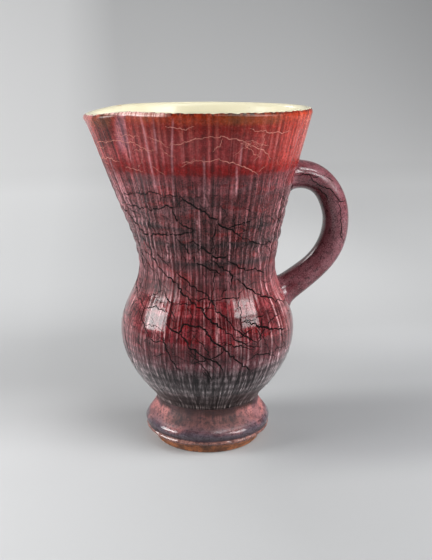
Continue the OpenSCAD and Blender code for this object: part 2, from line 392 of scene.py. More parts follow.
# The beak turns about an axis of its own, which leans towards the tip
beakOffset = jug["tipReach"] - jug["beakRadius"]
creaseReach = (jug["rimRadius"] ** 2 + beakOffset ** 2 - jug["beakRadius"] ** 2) / (2 * beakOffset)
beakTilt = math.degrees(math.atan(jug["beakDroop"] / (jug["tipReach"] - creaseReach)))
beakAcross = direction(beakTilt)
beakUp = np.array([-beakAcross[1], beakAcross[0]])
beakTop = np.array([-jug["tipReach"], clayTop - jug["beakDroop"]]) + jug["beakRadius"] * beakAcross
lipSide = direction(beakTilt - jug["lipLean"])
lipWay = np.array([-lipSide[1], lipSide[0]])
throatRadius = lineRadius(outerLine(0), np.array(jug["throatHeight"]))
throatPlace = np.array([-throatRadius, jug["throatHeight"]]) - beakTop
throat = np.array([-throatPlace @ beakAcross, throatPlace @ beakUp])
beakEnd = np.array([jug["beakRadius"] - lipHalf, -lipHalf]) + lipHalf * lipSide
beakBend = beakEnd - jug["lipRun"] * lipWay
beakRise = beakBend - throat
beakOut = np.array([beakRise[1], -beakRise[0]]) / np.linalg.norm(beakRise)
beakCurve = [throat, throat + beakRise / 2 + jug["throatSwell"] * beakOut, beakBend, beakEnd]
beakRoot, beakPast = 60.0, 20.0  # how far the line runs on at its two ends
# Lowest height and farthest radius at which its wall is looked for, and how often they are halved
beakLowest, beakFarthest, halvings = 100.0, 100.0, 36


# The beak's line about its own axis, moved out by an offset and carried on straight at both ends
def beakLine(offset):
    line = curvePoints(beakCurve, steps) + offset * curveSide(beakCurve, steps)
    fall = -curveSlope(beakCurve, np.zeros(1))[0]
    return np.concatenate([[line[0] + beakRoot * fall], line, [line[-1] + beakPast * lipWay]])


# Distance from the jug's axis to the beak's wall, at an angle and a height: halved until it is met
def beakDistance(angle, height, offset):
    line = beakLine(offset)
    angle, height = np.broadcast_arrays(angle, height)
    near, far = np.zeros(angle.shape), np.full(angle.shape, beakFarthest)
    for turn in range(halvings):
        reach = (near + far) / 2
        x = reach * np.cos(angle) - beakTop[0]
        z = height - beakTop[1]
        outward = -(x * beakAcross[0] + z * beakAcross[1])
        along = x * beakUp[0] + z * beakUp[1]
        inside = np.hypot(outward, reach * np.sin(angle)) < np.interp(along, line[:, 1], line[:, 0])
        near, far = np.where(inside, reach, near), np.where(inside, far, reach)
    return (near + far) / 2


# Waves round the axis, level about 1 at their strongest: cosines of many counts that drift with height
def wavesRound(angle, height, low, high, seed, drift):
    mostWaves, peakShare = 26, 1.6
    draw = np.random.default_rng(seed)
    total = 0
    counts = np.unique(draw.integers(low, high, mostWaves))
    for count in counts:
        phase, slant = draw.uniform(0, 2 * np.pi), draw.normal(0, drift)
        total = total + np.cos(count * angle + phase + slant * height)
    return total / (peakShare * math.sqrt(len(counts)))


# Ridges down the wall, soft turning marks round it and a shoulder above the belly; the waves have a
# least and a largest count, a seed and a drift
relief = {
    "fine": (34, 116, 11, 0.020), "broad": (9, 36, 12, 0.014),
    "level": 0.42, "fineShare": 0.62, "broadShare": 0.24, "ridgeBase": 0.8,
    "ridgeHeights": (60.0, 80.0, 92.0, 98.0, 130.0), "ridgeRises": (0.05, 0.012, 0.012, 0.10, 0.16),
    "markHeights": (94.0, 104.0, 114.0, 146.0, 158.0), "markRises": (0.012, 0.05, 0.20, 0.20, 0.05),
    "markPitch": 6.3, "calmTop": 194.0, "fullTop": 184.0,
    "shoulderRise": 0.20, "shoulderHeight": 89.0, "hollowHeight": 98.0, "shoulderReach": 4.8,
    "rowRise": 0.10, "rowPitch": 4.6, "rowTop": 64.0, "rowTopFade": 8.0,
    "rowBottom": 32.0, "rowBottomFade": 6.0,
}


# Level of the ridges, 0 to 1: fine and broad waves, so that spacing and width wander round the wall
def ridges(angle, height):
    fine, broad = wavesRound(angle, height, *relief["fine"]), wavesRound(angle, height, *relief["broad"])
    return np.clip(relief["level"] + relief["fineShare"] * fine + relief["broadShare"] * broad, 0, 1)


# Height of the relief: ridges and marks that fade to the rim, a shoulder with a hollow above it, and
# rows low on the belly
def wallRelief(angle, height):
    size = np.interp(height, relief["ridgeHeights"], relief["ridgeRises"])
    mark = np.interp(height, relief["markHeights"], relief["markRises"])
    calm = np.clip((relief["calmTop"] - height) / (relief["calmTop"] - relief["fullTop"]), 0, 1)
    marks = mark * np.sin(2 * np.pi * height / relief["markPitch"] - angle)
    low = np.clip((relief["rowTop"] - height) / relief["rowTopFade"], 0, 1)
    low = low * np.clip((height - relief["rowBottom"]) / relief["rowBottomFade"], 0, 1)
    rows = relief["rowRise"] * low * np.sin(2 * np.pi * height / relief["rowPitch"] + angle)
    shoulder = bell(height, relief["shoulderHeight"], relief["shoulderReach"])
    hollow = bell(height, relief["hollowHeight"], relief["shoulderReach"])
    step = relief["shoulderRise"] * (shoulder - hollow)
    return (size * (2 * ridges(angle, height) - relief["ridgeBase"]) + marks) * calm + rows + step


# Shape of the foot, the same sizes as the solid
footValues = {
    "topHeight": 27.0, "radius": 36.8, "bulgeHeight": 12.5, "baseRadius": 31.9, "baseRound": 1.3,
    "lowRun": 5.0, "highRun": 2.5, "bareHeight": 6.0, "creaseFill": 9.0,
}
footBase = np.array([footValues["baseRadius"], footValues["baseRound"]])
footBulge = np.array([footValues["radius"], footValues["bulgeHeight"]])
footTop = np.array([jug["footTopRadius"], footValues["topHeight"]])
footLow = [
    footBase, footBase + (footBulge - footBase) / 3,
    footBulge - footValues["lowRun"] * upright, footBulge,
]
footHigh = [
    footBulge, footBulge + footValues["highRun"] * upright,
    footTop + (footBulge - footTop) / 3, footTop,
]


# The foot's turned line, moved out by an offset
def footLine(offset):
    return risingLine(joinedLine((footLow, footHigh), offset))


wallCoat, footCoat = outerLine(jug["glaze"]), footLine(jug["glaze"])


# Radius of the turned outside at a height: foot and wall, with the crease between them filled a little
def turnedRadius(height):
    above = lineRadius(wallCoat, height)
    spring = np.minimum(height - jug["footHeight"], 0)
    below = lineRadius(footCoat, height)
    return softMax(above + spring, below, footValues["creaseFill"])


# A turned radius and the beak's wall in one, rounded over where they meet
def withBeak(turned, angle, height, offset, width):
    beak = beakDistance(angle, np.maximum(height, beakLowest), offset)
    return softMax(turned, np.where(height > beakLowest, beak, 0), width)


# Radius of the glazed outside at an angle and a height: the neck and the beak in one, with relief
def glazedRadius(angle, height):
    spread = np.clip((jug["creaseHeight"] - height) / jug["creaseRun"], 0, 1)
    width = jug["creaseWidth"] + jug["creaseSpread"] * spread
    outside = withBeak(turnedRadius(height), angle, height, jug["glaze"], width)
    return outside + wallRelief(angle, height)


liningLine = innerLine(jug["glaze"])


# Radius of the lined inside at an angle and a height above the belly
def linedRadius(angle, height):
    inside = lineRadius(liningLine, height)
    return withBeak(inside, angle, height, -jug["rimWall"] - jug["glaze"], jug["liningCrease"])


# The rounded lip, and the line on it where the red and the cream glaze meet
lip = {
    "rise": 2.9, "shear": 0.5, "lean": 0.26, "round": 9,
    "meetAngle": 64.0, "meetWander": 15.0, "meetWaves": (3, 110, 5, 0),
    "sightHeight": 196.0, "blend": 3.0, "fallBlend": 6.0, "fallReach": 22.0,
}


# Height of the rim's crest, which falls by the beak's slope past the crease
def crestHeight(angle):
    beak = beakDistance(angle, np.full_like(angle, lip["sightHeight"]), 0)
    radius = softMax(np.full_like(angle, jug["rimRadius"]), beak, lip["blend"])
    past = softMax(-radius * np.cos(angle) - creaseReach, np.zeros_like(angle), lip["fallBlend"])
    return jug["height"] - math.tan(math.radians(beakTilt)) * np.minimum(past, lip["fallReach"])


columns = 640
angles = 2 * np.pi * np.arange(columns) / columns
rimTop = crestHeight(angles) - lip["rise"]
plainTop = jug["height"] - lip["rise"]


# Real height of a level: above the throat, levels are drawn together where the rim lies lower
def drawnHeight(level, top):
    share = np.clip((level - jug["throatHeight"]) / (plainTop - jug["throatHeight"]), 0, 1)
    return level + share * (top - plainTop)


# Radius and height on the lip, half an ellipse that leans: turn is 0 outside and half a turn inside
def lipPoints(turn):
    outer, inner = glazedRadius(angles, rimTop), linedRadius(angles, rimTop)
    middle, half = (outer + inner) / 2, (outer - inner) / 2
    lean = lip["shear"] * lip["lean"] * lip["rise"]
    radius = middle + half * np.cos(turn) + lean * np.sin(turn)
    height = rimTop + lip["rise"] * np.sin(turn)
    return radius, height


# The turn at which the two glazes meet wavers round the rim
meetTurn = np.radians(
    lip["meetAngle"] + lip["meetWander"] * wavesRound(angles, 0 * angles, *lip["meetWaves"])
)


# Points round the axis: radius times cosine, radius times sine, and height
def polarPoints(angle, radius, height):
    angle, radius, height = np.broadcast_arrays(angle, radius, height)
    return np.stack([radius * np.cos(angle), radius * np.sin(angle), height], -1)


# A thin closed coat: a fine front, a coarse back and a strip at each open edge
def coatMesh(front, back, outward, pole=None):
    rows, count = front.shape[:2]
    backRows, backCount = back.shape[:2]
    start = rows * count
    points = [front.reshape(-1, 3), back.reshape(-1, 3)]
    polygons = [
        gridQuads(rows, count, 0, not outward), gridQuads(backRows, backCount, start, outward),
    ]
    fineLast = np.arange(count) + (rows - 1) * count
    coarseLast = start + np.arange(backCount) + (backRows - 1) * backCount
    polygons.append(joinRings(fineLast, coarseLast, not outward))
    fineFirst, coarseFirst = np.arange(count), start + np.arange(backCount)
    if pole is None:
        polygons.append(joinRings(fineFirst, coarseFirst, outward))
    else:
        points.append(np.array(pole))
        middle = start + backRows * backCount
        polygons.append(closeRing(fineFirst, middle, outward))
        polygons.append(closeRing(coarseFirst, middle + 1, not outward))
    return np.concatenate(points), polygons


# Red glaze on the wall and the beak, from the foot to the outside of the lip
coat = {"rows": 128, "backRows": 36, "backStep": 4, "backRise": 0.6, "thick": 0.44}
levels = np.linspace(jug["footHeight"], plainTop, coat["rows"])
wallHeight = drawnHeight(levels[:, None], rimTop[None, :])
wallRadius = glazedRadius(angles[None, :], wallHeight)
lipTurn = np.linspace(0, 1, lip["round"])[1:, None] * meetTurn[None, :]
lipRadius, lipHeight = lipPoints(lipTurn)
outerFront = polarPoints(
    angles[None, :], np.concatenate([wallRadius, lipRadius]), np.concatenate([wallHeight, lipHeight])
)
backAngles = angles[::coat["backStep"]]
backTop = rimTop[::coat["backStep"]] + coat["backRise"]
backLevels = np.linspace(jug["footHeight"], plainTop, coat["backRows"])
backHeight = drawnHeight(backLevels[:, None], backTop[None, :])
backRadius = glazedRadius(backAngles[None, :], backHeight) - coat["thick"]
outerBack = polarPoints(backAngles[None, :], backRadius, backHeight)
outerPoints, outerPolygons = coatMesh(outerFront, outerBack, True)
outerAngle, outerHeight = np.arctan2(outerPoints[:, 1], outerPoints[:, 0]), outerPoints[:, 2]

# Long pale runs of glaze seen at the front: degrees to the right of it and height, from the top down
frontTurn = -98.0
frontRuns = [
    [(-35, 200), (-34, 190), (-33.7, 174), (-33, 160), (-31, 149)],
    [(-27.4, 199), (-27.7, 188), (-28.3, 177)], [(-16.5, 198), (-19.6, 176), (-21, 157), (-21.5, 149)],
    [(-1.7, 178), (-1.5, 165), (-1.3, 148)], [(16.6, 174), (17.6, 165), (18.4, 154)],
    [(18.6, 186), (18.9, 171)], [(40, 168), (42.3, 159), (44.7, 148)],
    [(-47, 198), (-47.5, 188), (-49, 176), (-50, 171)], [(45, 167), (51, 155)],
    [(15.3, 138), (18.2, 114), (18.2, 98)], [(-5, 150), (-5.2, 125), (-5, 111)],
    [(-29.4, 134), (-32.3, 115)], [(41, 133), (44, 121), (49, 110)], [(-42.7, 131), (-43.4, 121)],
    [(-28.7, 104), (-23.3, 98), (-20.1, 92)],
]
runValues = {
    "seed": 8, "others": 46, "first": 60.0, "span": 240.0, "tops": (120, 198), "slant": 2.0,
    "lengths": (15, 48), "wide": 0.48, "widths": (0.7, 1.2), "levels": (0.6, 1.0), "fade": 5.0,
}


# Turn from one angle to another in degrees, the short way round
def turnBetween(first, second):
    return (second - first + 180) % 360 - 180


# Level of the long runs, 1 along their middle: a bell across each run, fading at its ends
def longRuns(angle, height):
    draw = np.random.default_rng(runValues["seed"])
    runs = list(frontRuns)
    for number in range(runValues["others"]):
        start = runValues["first"] + runValues["span"] * (number + draw.random()) / runValues["others"]
        top = draw.uniform(*runValues["tops"])
        end = start + draw.normal(0, runValues["slant"])
        runs.append([(start, top), (end, top - draw.uniform(*runValues["lengths"]))])
    degrees = turnBetween(frontTurn, np.degrees(angle))
    total = np.zeros_like(angle)
    for run in runs:
        turn, high = np.array(run[::-1], float).T
        apart = np.radians(turnBetween(np.interp(height, high, turn), degrees)) * turnedRadius(height)
        across = bell(apart, 0, runValues["wide"] * draw.uniform(*runValues["widths"]))
        inside = np.minimum(height - high[0], high[-1] - height) / runValues["fade"]
        total = np.maximum(total, across * np.clip(inside, 0, 1) * draw.uniform(*runValues["levels"]))
    return total


# How far the beak stands out before the neck, negative beside it
def beakAhead(angle, height):
    return beakDistance(angle, np.maximum(height, beakLowest), jug["glaze"]) - turnedRadius(height)


outerLevels = {
    "streak": ridges(outerAngle, outerHeight), "run": longRuns(outerAngle, outerHeight),
    "ahead": beakAhead(outerAngle, outerHeight),
}

# How far a point on the wall faces the front: 1 there and -1 behind
def facingFront(axes):
    front = direction(frontTurn)
    return (axes[0] * float(front[0]) + axes[1] * float(front[1])) / axisDistance(axes)


# Colours of the red glaze and where it changes, by height above the table in metres; the noises have
# one or two scales, detail and roughness
redGlaze = {
    "ground": [
        (0.028, (46, 39, 38)), (0.036, (54, 45, 46)), (0.054, (56, 42, 46)), (0.0615, (80, 38, 44)),
        (0.070, (84, 28, 34)), (0.093, (106, 31, 36)), (0.105, (86, 26, 31)), (0.120, (82, 37, 40)),
        (0.140, (84, 40, 42)), (0.155, (90, 38, 41)), (0.1662, (104, 44, 48)), (0.1675, (118, 6, 6)),
        (0.1722, (116, 8, 8)), (0.1740, (118, 35, 36)), (0.186, (116, 36, 37)), (0.1905, (110, 19, 13)),
        (0.1930, (112, 16, 9)), (0.1955, (136, 40, 12)), (0.200, (126, 38, 14)),
    ],
    "pale": [
        (0.028, (140, 126, 124)), (0.048, (160, 148, 150)), (0.061, (160, 132, 136)),
        (0.075, (166, 126, 128)), (0.093, (176, 132, 134)), (0.110, (154, 116, 120)),
        (0.135, (142, 104, 108)), (0.160, (150, 98, 102)), (0.170, (164, 66, 68)),
        (0.178, (174, 96, 97)), (0.200, (190, 104, 84)),
    ],
    "paleLevel": [
        (0.028, 0.75), (0.045, 0.95), (0.062, 0.85), (0.070, 0.7), (0.110, 0.8), (0.150, 0.85),
        (0.166, 0.8), (0.168, 0.4), (0.1725, 0.4), (0.175, 0.85), (0.188, 0.85), (0.192, 0.5), (0.200, 0.55),
    ],
    "orange": (176, 52, 30), "deep": (98, 14, 16), "grey": (92, 68, 72), "dark": (24, 15, 16),
    "beak": (66, 14, 12), "beakTop": (96, 52, 30), "valley": (140, 106, 118), "lip": (216, 176, 168),
    "olive": (104, 62, 26), "run": (198, 142, 148),
    "upperFrom": (0.166, 0.176), "beakFrom": (0.150, 0.172), "bandFrom": (0.163, 0.168),
    "waistFrom": (0.092, 0.112), "rowsUpTo": (0.057, 0.068),
    "grooveShade": [(0.1375, 0.0012), (0.1280, 0.0016), (0.1170, 0.0014), (0.0520, 0.0028), (0.030, 0.004)],
    "streaks": {
        "hair": (34.0, 16.0, 3.0, 0.6), "long": (9.0, 5.0, 2.0, 0.5), "dash": (36.0, 130.0, 2.0, 0.55),
        "breaks": (9.0, 80.0, 3.0, 0.6), "group": (6.0, 20.0, 2.0, 0.5), "thread": (58.0, 46.0, 2.0, 0.6),
    },
    "spots": {
        "patch": (24.0, 2.0, 0.5), "blotch": (300.0, 2.0, 0.6), "mottle": (520.0, 3.0, 0.65),
        "grain": (1500.0, 2.0, 0.6), "nets": (38.0, 2.0, 0.5),
    },
    "flats": {
        "cloud": (34.0, 120.0, 3.0, 0.6), "fleck": (60.0, 190.0, 2.0, 0.5), "turning": (9.0, 200.0, 1.0, 0.5),
    },
    "shiftScale": 210.0, "shift": 0.005, "cellScale": 150.0, "specular": 0.28,
}


def makeRedGlaze():
    material, shader, place, axes = newMaterial("redGlaze")
    height, sideways = axes[2], axes[0] / axisDistance(axes)
    comb, run, ahead = [
        place.make("ShaderNodeAttribute", {"attribute_name": label}, None, 2) for label in outerLevels
    ]
    hair, long, dash, breaks, group, thread = [
        streakNoise(axes, *row) for row in redGlaze["streaks"].values()
    ]
    patch, blotch, mottle, grain, nets = [noise(place, *row) for row in redGlaze["spots"].values()]
    cloud, fleck, turning = [flatNoise(axes, *row) for row in redGlaze["flats"].values()]
    upper, onBeak = height.rise(*redGlaze["upperFrom"]), height.rise(*redGlaze["beakFrom"])
    below, belly, low = [
        1.0 - height.rise(*redGlaze[limit]) for limit in ("bandFrom", "waistFrom", "rowsUpTo")
    ]
    facing = facingFront(axes)
    flank = 1.0 - (facing * facing).rise(0.10, 0.75)
    level = height + (patch - 0.5) * 0.003 + (hair - 0.5) * 0.004
    colour = level.ramp(redGlaze["ground"])
    # The upper band turns orange towards the handle, and olive in patches under the lip
    colour = (sideways.rise(0.05, 0.95) * upper * 0.45).mix(colour, redGlaze["orange"])
    colour = (height.rise(0.1925, 0.1955) * patch.rise(0.42, 0.60) * 0.6).mix(colour, redGlaze["olive"])
    # Below it lie grey-mauve clouds and deep red flecks, drawn out round the wall
    greyed = cloud.rise(0.46, 0.64) * below * height.rise(0.098, 0.114) * 0.40
    colour = greyed.mix(colour, redGlaze["grey"])
    flecked = fleck.rise(0.54, 0.64) * below * height.rise(0.064, 0.078) * 0.65
    colour = flecked.mix(colour, redGlaze["deep"])
    # Painted shade: dark hollows between the throwing rings and above the foot
    grooveShade = sum(height.peak(*groove) for groove in redGlaze["grooveShade"])
    colour = (grooveShade * cloud.rise(0.38, 0.54) * 0.8).mix(colour, redGlaze["dark"])
    # The beak's side is dark with painted shade, and olive under the lip
    beakShade = ahead.rise(2.2, 4.2) * (1.0 - ahead.rise(6.6, 8.6)) * onBeak
    colour = (beakShade * (0.4 + height.rise(0.174, 0.186) * 0.55)).mix(colour, redGlaze["beak"])
    colour = (ahead.rise(2.8, 4.5) * height.rise(0.1885, 0.1935) * 0.6).mix(colour, redGlaze["beakTop"])
    # A grey-mauve valley beside it, partly glaze colour and partly a painted pale reflection
    valley = ahead.rise(-2.0, 0.2) * (1.0 - ahead.rise(1.4, 3.0)) * onBeak
    colour = (valley * height.rise(0.174, 0.184) * 0.5).mix(colour, redGlaze["valley"])
    # A pale edge along the beak: a painted highlight
    colour = (ahead.rise(8.2, 9.6) * onBeak * 0.25).mix(colour, redGlaze["run"])
    # Uneven depth of colour along the ridges and in small blotches
    colour = shaded(colour, 0.42 + comb.rise(0.05, 0.50) * (0.30 - belly * 0.12) + long * 0.56)
    blotched = blotch.rise(0.34, 0.66)
    depth = 0.78 - belly * 0.12 + blotched * (0.44 + belly * 0.24) + upper * (0.08 - blotched * 0.16)
    colour = shaded(colour, depth)
    # Pale streaks where the glaze broke over the ridges, in short dashes and rows low on the belly
    strand = comb.rise(0.45, 0.98) * (0.15 + long * 0.75) + hair.rise(0.52, 0.66) * (0.48 + belly * 0.26)
    strand = strand * (0.35 + breaks.rise(0.32, 0.62) * 0.65) * (1.0 - beakShade * 0.6)
    strand = strand * (1.0 - belly * 0.5 + belly * group.rise(0.38, 0.62) * 0.7)
    strand = strand * (0.5 + dash.rise(0.36, 0.60) * 0.6)
    rowTurn = height * (2 * math.pi / (relief["rowPitch"] * millimetre))
    rows = 0.55 + rowTurn.math("SINE", rowTurn + (patch - 0.5) * 5.0) * 0.45
    strand = strand * (1.0 - low + low * (0.3 + rows * 0.7))
    strand = strand + dash.rise(0.44, 0.66) * low * (0.15 + rows * 0.3)
    # Paler on the flanks: denser streaks there, and in part a painted sheen where the wall turns from the
    # front
    strand = strand * (1.0 + flank * 0.5) + flank * below * 0.14
    colour = (strand * level.ramp(redGlaze["paleLevel"])).mix(colour, level.ramp(redGlaze["pale"]))
    # Soft darker bands round the wall, left by turning, and painted shade at the front
    banded = turning.rise(0.40, 0.60) * (1.0 - height.rise(0.100, 0.135) * 0.5) * (1.0 - upper)
    frontShade = 1.0 - facing.rise(0.5, 0.95) * (0.09 + upper * 0.06)
    colour = shaded(colour, (0.74 + banded * 0.5 + upper * 0.26) * frontShade)
    colour = (run * (0.14 + breaks.rise(0.28, 0.6) * 0.40)).mix(colour, redGlaze["run"])
    # Fine dark crackle in patches
    shift = place.make(
        "ShaderNodeTexNoise", None, {"Vector": place, "Scale": redGlaze["shiftScale"], "Detail": 2.0}, 1
    )
    bent = place.make(
        "ShaderNodeVectorMath", {"operation": "ADD"}, {0: shaded(shift, redGlaze["shift"]), 1: place}
    )
    cells = bent.make(
        "ShaderNodeTexVoronoi", {"feature": "DISTANCE_TO_EDGE"},
        {"Vector": bent, "Scale": redGlaze["cellScale"]},
    )
    net = (1.0 - cells.rise(0.012, 0.060)) * nets.rise(0.44, 0.56)
    net = net * height.rise(0.062, 0.080) * (1.0 - height.rise(0.154, 0.163))
    colour = (net * 0.6).mix(colour, redGlaze["dark"])
    # Dark dashes along the lip, and pale dashes of painted highlight on the lip towards the beak
    dashes = height.rise(0.1978, 0.1992) * hair.rise(0.46, 0.56)
    colour = (dashes * 0.8).mix(colour, redGlaze["dark"])
    lipHighlight = height.rise(0.1974, 0.1984) * (1.0 - sideways.rise(-0.54, -0.42))
    colour = (lipHighlight * (0.25 + hair.rise(0.40, 0.56) * 0.65)).mix(colour, redGlaze["lip"])
    # Fine threads and grains, strongest below the red band and on the flanks
    rough = below * (1.0 - belly * 0.45) + upper * flank * 0.8
    threads = hair.rise(0.42, 0.58) * 0.5 + thread.rise(0.40, 0.60) * 0.7 + dash.rise(0.40, 0.60) * 0.3 - 0.75
    grains = 1.0 + (mottle - 0.5) * (1.2 + rough * 0.2) + (grain - 0.5) * (1.4 + rough * 1.6)
    grains = grains + threads * rough
    connect(shader, "Base Color", shaded(colour, grains.math("MAXIMUM", grains, 0.15)))
    # Satin above the shoulder and by the foot, glossy elsewhere
    matt = height.rise(0.0945, 0.0985) * (0.42 - height.rise(0.108, 0.120) * 0.24)
    matt = matt + (1.0 - height.rise(0.034, 0.044)) * 0.45
    connect(shader, "Roughness", 0.06 + mottle * 0.06 + matt)
    shader.inputs["Specular IOR Level"].default_value = redGlaze["specular"]
    fineRelief = hair * (0.6 - belly * 0.45) + mottle * 0.2 + dash * low * 0.5
    connect(shader, "Normal", bump(fineRelief, 0.00025, 0.7))
    return material


addPiece(
    "glazedWall", outerPoints, outerPolygons, makeRedGlaze(), "red_glaze",
    ("body_glaze", "spout_glaze"), outerLevels,
)
print("glazed wall made")

# Cream glaze inside, from the lip down to the middle of the floor
lining = {
    "rows": 60, "bowlRows": 26, "thick": 0.4, "backRows": 30, "backStep": 4,
    "cream": (213, 207, 180), "shade": (190, 181, 146), "speck": (120, 104, 80),
}
innerTurn = meetTurn[None, :] + np.linspace(0, 1, lip["round"])[:-1, None] * (np.pi - meetTurn[None, :])
creamRadius, creamHeight = lipPoints(innerTurn)
innerLevels = np.linspace(plainTop, jug["bellyHeight"], lining["rows"])
innerHeight = drawnHeight(innerLevels[:, None], rimTop[None, :])
innerRadius = linedRadius(angles[None, :], innerHeight)
bowlShare = np.linspace(1, 0, lining["bowlRows"])[1:-1]
bowl = curvePoints(bowlCurve, bowlShare) - jug["glaze"] * curveSide(bowlCurve, bowlShare)
bowlRadius = np.repeat(bowl[:, :1], columns, 1)
bowlHeight = np.repeat(bowl[:, 1:], columns, 1)
innerFront = polarPoints(
    angles[None, :], np.concatenate([creamRadius, innerRadius, bowlRadius]),
    np.concatenate([creamHeight, innerHeight, bowlHeight]),
)[::-1]
innerBackHeight = drawnHeight(
    np.linspace(plainTop, jug["bellyHeight"], lining["backRows"])[:, None], backTop[None, :]
)
innerBackRadius = linedRadius(backAngles[None, :], innerBackHeight) + lining["thick"]
backStep = lining["backStep"]
backBowl = bowl[::backStep] + lining["thick"] * curveSide(bowlCurve, bowlShare[::backStep])
innerBack = polarPoints(
    backAngles[None, :],
    np.concatenate([innerBackRadius, np.repeat(backBowl[:, :1], len(backAngles), 1)]),
    np.concatenate([innerBackHeight, np.repeat(backBowl[:, 1:], len(backAngles), 1)]),
)[::-1]
floorPoint = jug["floorHeight"] + jug["glaze"]
innerPoints, innerPolygons = coatMesh(
    innerFront, innerBack, False, [(0, 0, floorPoint), (0, 0, floorPoint - lining["thick"])]
)


def makeCreamGlaze():
    material, shader, place, axes = newMaterial("creamGlaze")
    cloud = noise(place, 28.0, 3.0)
    specks = noise(place, 620.0, 2.0).rise(0.7, 0.8)
    colour = (cloud.rise(0.45, 0.8) * 0.5).mix(lining["cream"], lining["shade"])
    colour = (specks * 0.5).mix(colour, lining["speck"])
    connect(shader, "Base Color", colour)
    shader.inputs["Roughness"].default_value = 0.22
    connect(shader, "Normal", bump(noise(place, 160.0, 2.0), 0.0003, 0.4))
    return material


addPiece(
    "creamLining", innerPoints, innerPolygons, makeCreamGlaze(), "cream_glaze",
    ("liner_glaze", "spout_liner"),
)
print("lining made")

# Plum glaze on the foot, with a wavering rolled edge above the bare clay; the roll and the groove
# (height, centre above the edge, reach), then the swell and the hollow (by height above the table)
footGlaze = {
    "rows": 44, "edgeRows": 7, "columns": 384, "backStep": 4, "backRows": 12, "thick": 0.42, "spacing": 1.15,
    "roll": (1.4, 1.9, 1.15), "groove": (0.35, 4.5, 1.0),
    "swell": (0.85, 12.8, 2.8), "hollow": (0.45, 20.8, 3.6),
    "wander": 0.7, "edgeWaves": [(0.8, (2, 9, 21, 0)), (0.35, (12, 40, 22, 0))],
    "waver": 0.12, "waverWaves": (2, 14, 23, 0.05), "waverFade": 6.0,
    "pink": (160, 100, 97), "mauve": (104, 74, 80), "blue": (76, 66, 74), "bead": (132, 92, 84),
    "edge": (132, 80, 60), "crease": (44, 34, 32), "brown": (54, 31, 28), "dark": (36, 24, 30),
    # The brown and crease bands at the top, under the belly, are painted shade
    "bands": [
        (0.0135, "blue"), (0.0160, "mauve"), (0.0185, "pink"), (0.0228, "pink"), (0.0248, "brown"),
        (0.0262, "crease"), (0.029, "crease"),
    ],
    "edgeBands": [
        (0.004, "edge"), (0.0062, "edge"), (0.0074, "bead"), (0.0090, "bead"), (0.0098, "dark"),
        (0.011, "dark"),
    ],
}
footAngles = 2 * np.pi * np.arange(footGlaze["columns"]) / footGlaze["columns"]
footEdge = footValues["bareHeight"] + footGlaze["wander"] * sum(
    share * wavesRound(footAngles, 0 * footAngles, *waves) for share, waves in footGlaze["edgeWaves"]
)
footShare = np.linspace(0, 1, footGlaze["rows"])[:, None]
footHeight = footEdge[None, :] + footShare ** footGlaze["spacing"] * (jug["footHeight"] - footEdge[None, :])


# A swelling of the foot's glaze: a bell curve by height or by height above the edge
def footBell(name, value):
    size, centre, reach = footGlaze[name]
    return size * bell(value, centre, reach)


# The edge swells just above the glaze line, with a groove over it, and the waver fades to the body
def footRadiusAt(angle, height, edge):
    roll, groove = footBell("roll", height - edge), footBell("groove", height - edge)
    swell, hollow = footBell("swell", height), footBell("hollow", height)
    waver = footGlaze["waver"] * wavesRound(angle, height, *footGlaze["waverWaves"])
    fade = np.clip((jug["footHeight"] - height) / footGlaze["waverFade"], 0, 1)
    return turnedRadius(height) + roll - groove + swell - hollow + waver * fade


footRadius = footRadiusAt(footAngles[None, :], footHeight, footEdge[None, :])
edgeTurn = np.linspace(-0.5 * np.pi, 0, footGlaze["edgeRows"])[:-1, None]
edgeSize = footRadius[:1] - turnedRadius(footHeight[:1]) + footGlaze["thick"]
edgeRadius = footRadius[:1] - edgeSize + edgeSize * np.cos(edgeTurn)
edgeHeight = footHeight[:1] + edgeSize * np.sin(edgeTurn)
footFront = polarPoints(
    footAngles[None, :], np.concatenate([edgeRadius, footRadius]), np.concatenate([edgeHeight, footHeight])
)
footBackAngles = footAngles[::footGlaze["backStep"]]
footBackShare = np.linspace(0, 1, footGlaze["backRows"])[:, None]
footBackEdge = footEdge[None, ::footGlaze["backStep"]]
footBackHeight = footBackEdge + footBackShare * (jug["footHeight"] - footBackEdge)
footBackRadius = turnedRadius(footBackHeight) - footGlaze["thick"]
footBack = polarPoints(footBackAngles[None, :], footBackRadius, footBackHeight)
footPoints, footPolygons = coatMesh(footFront, footBack, True)


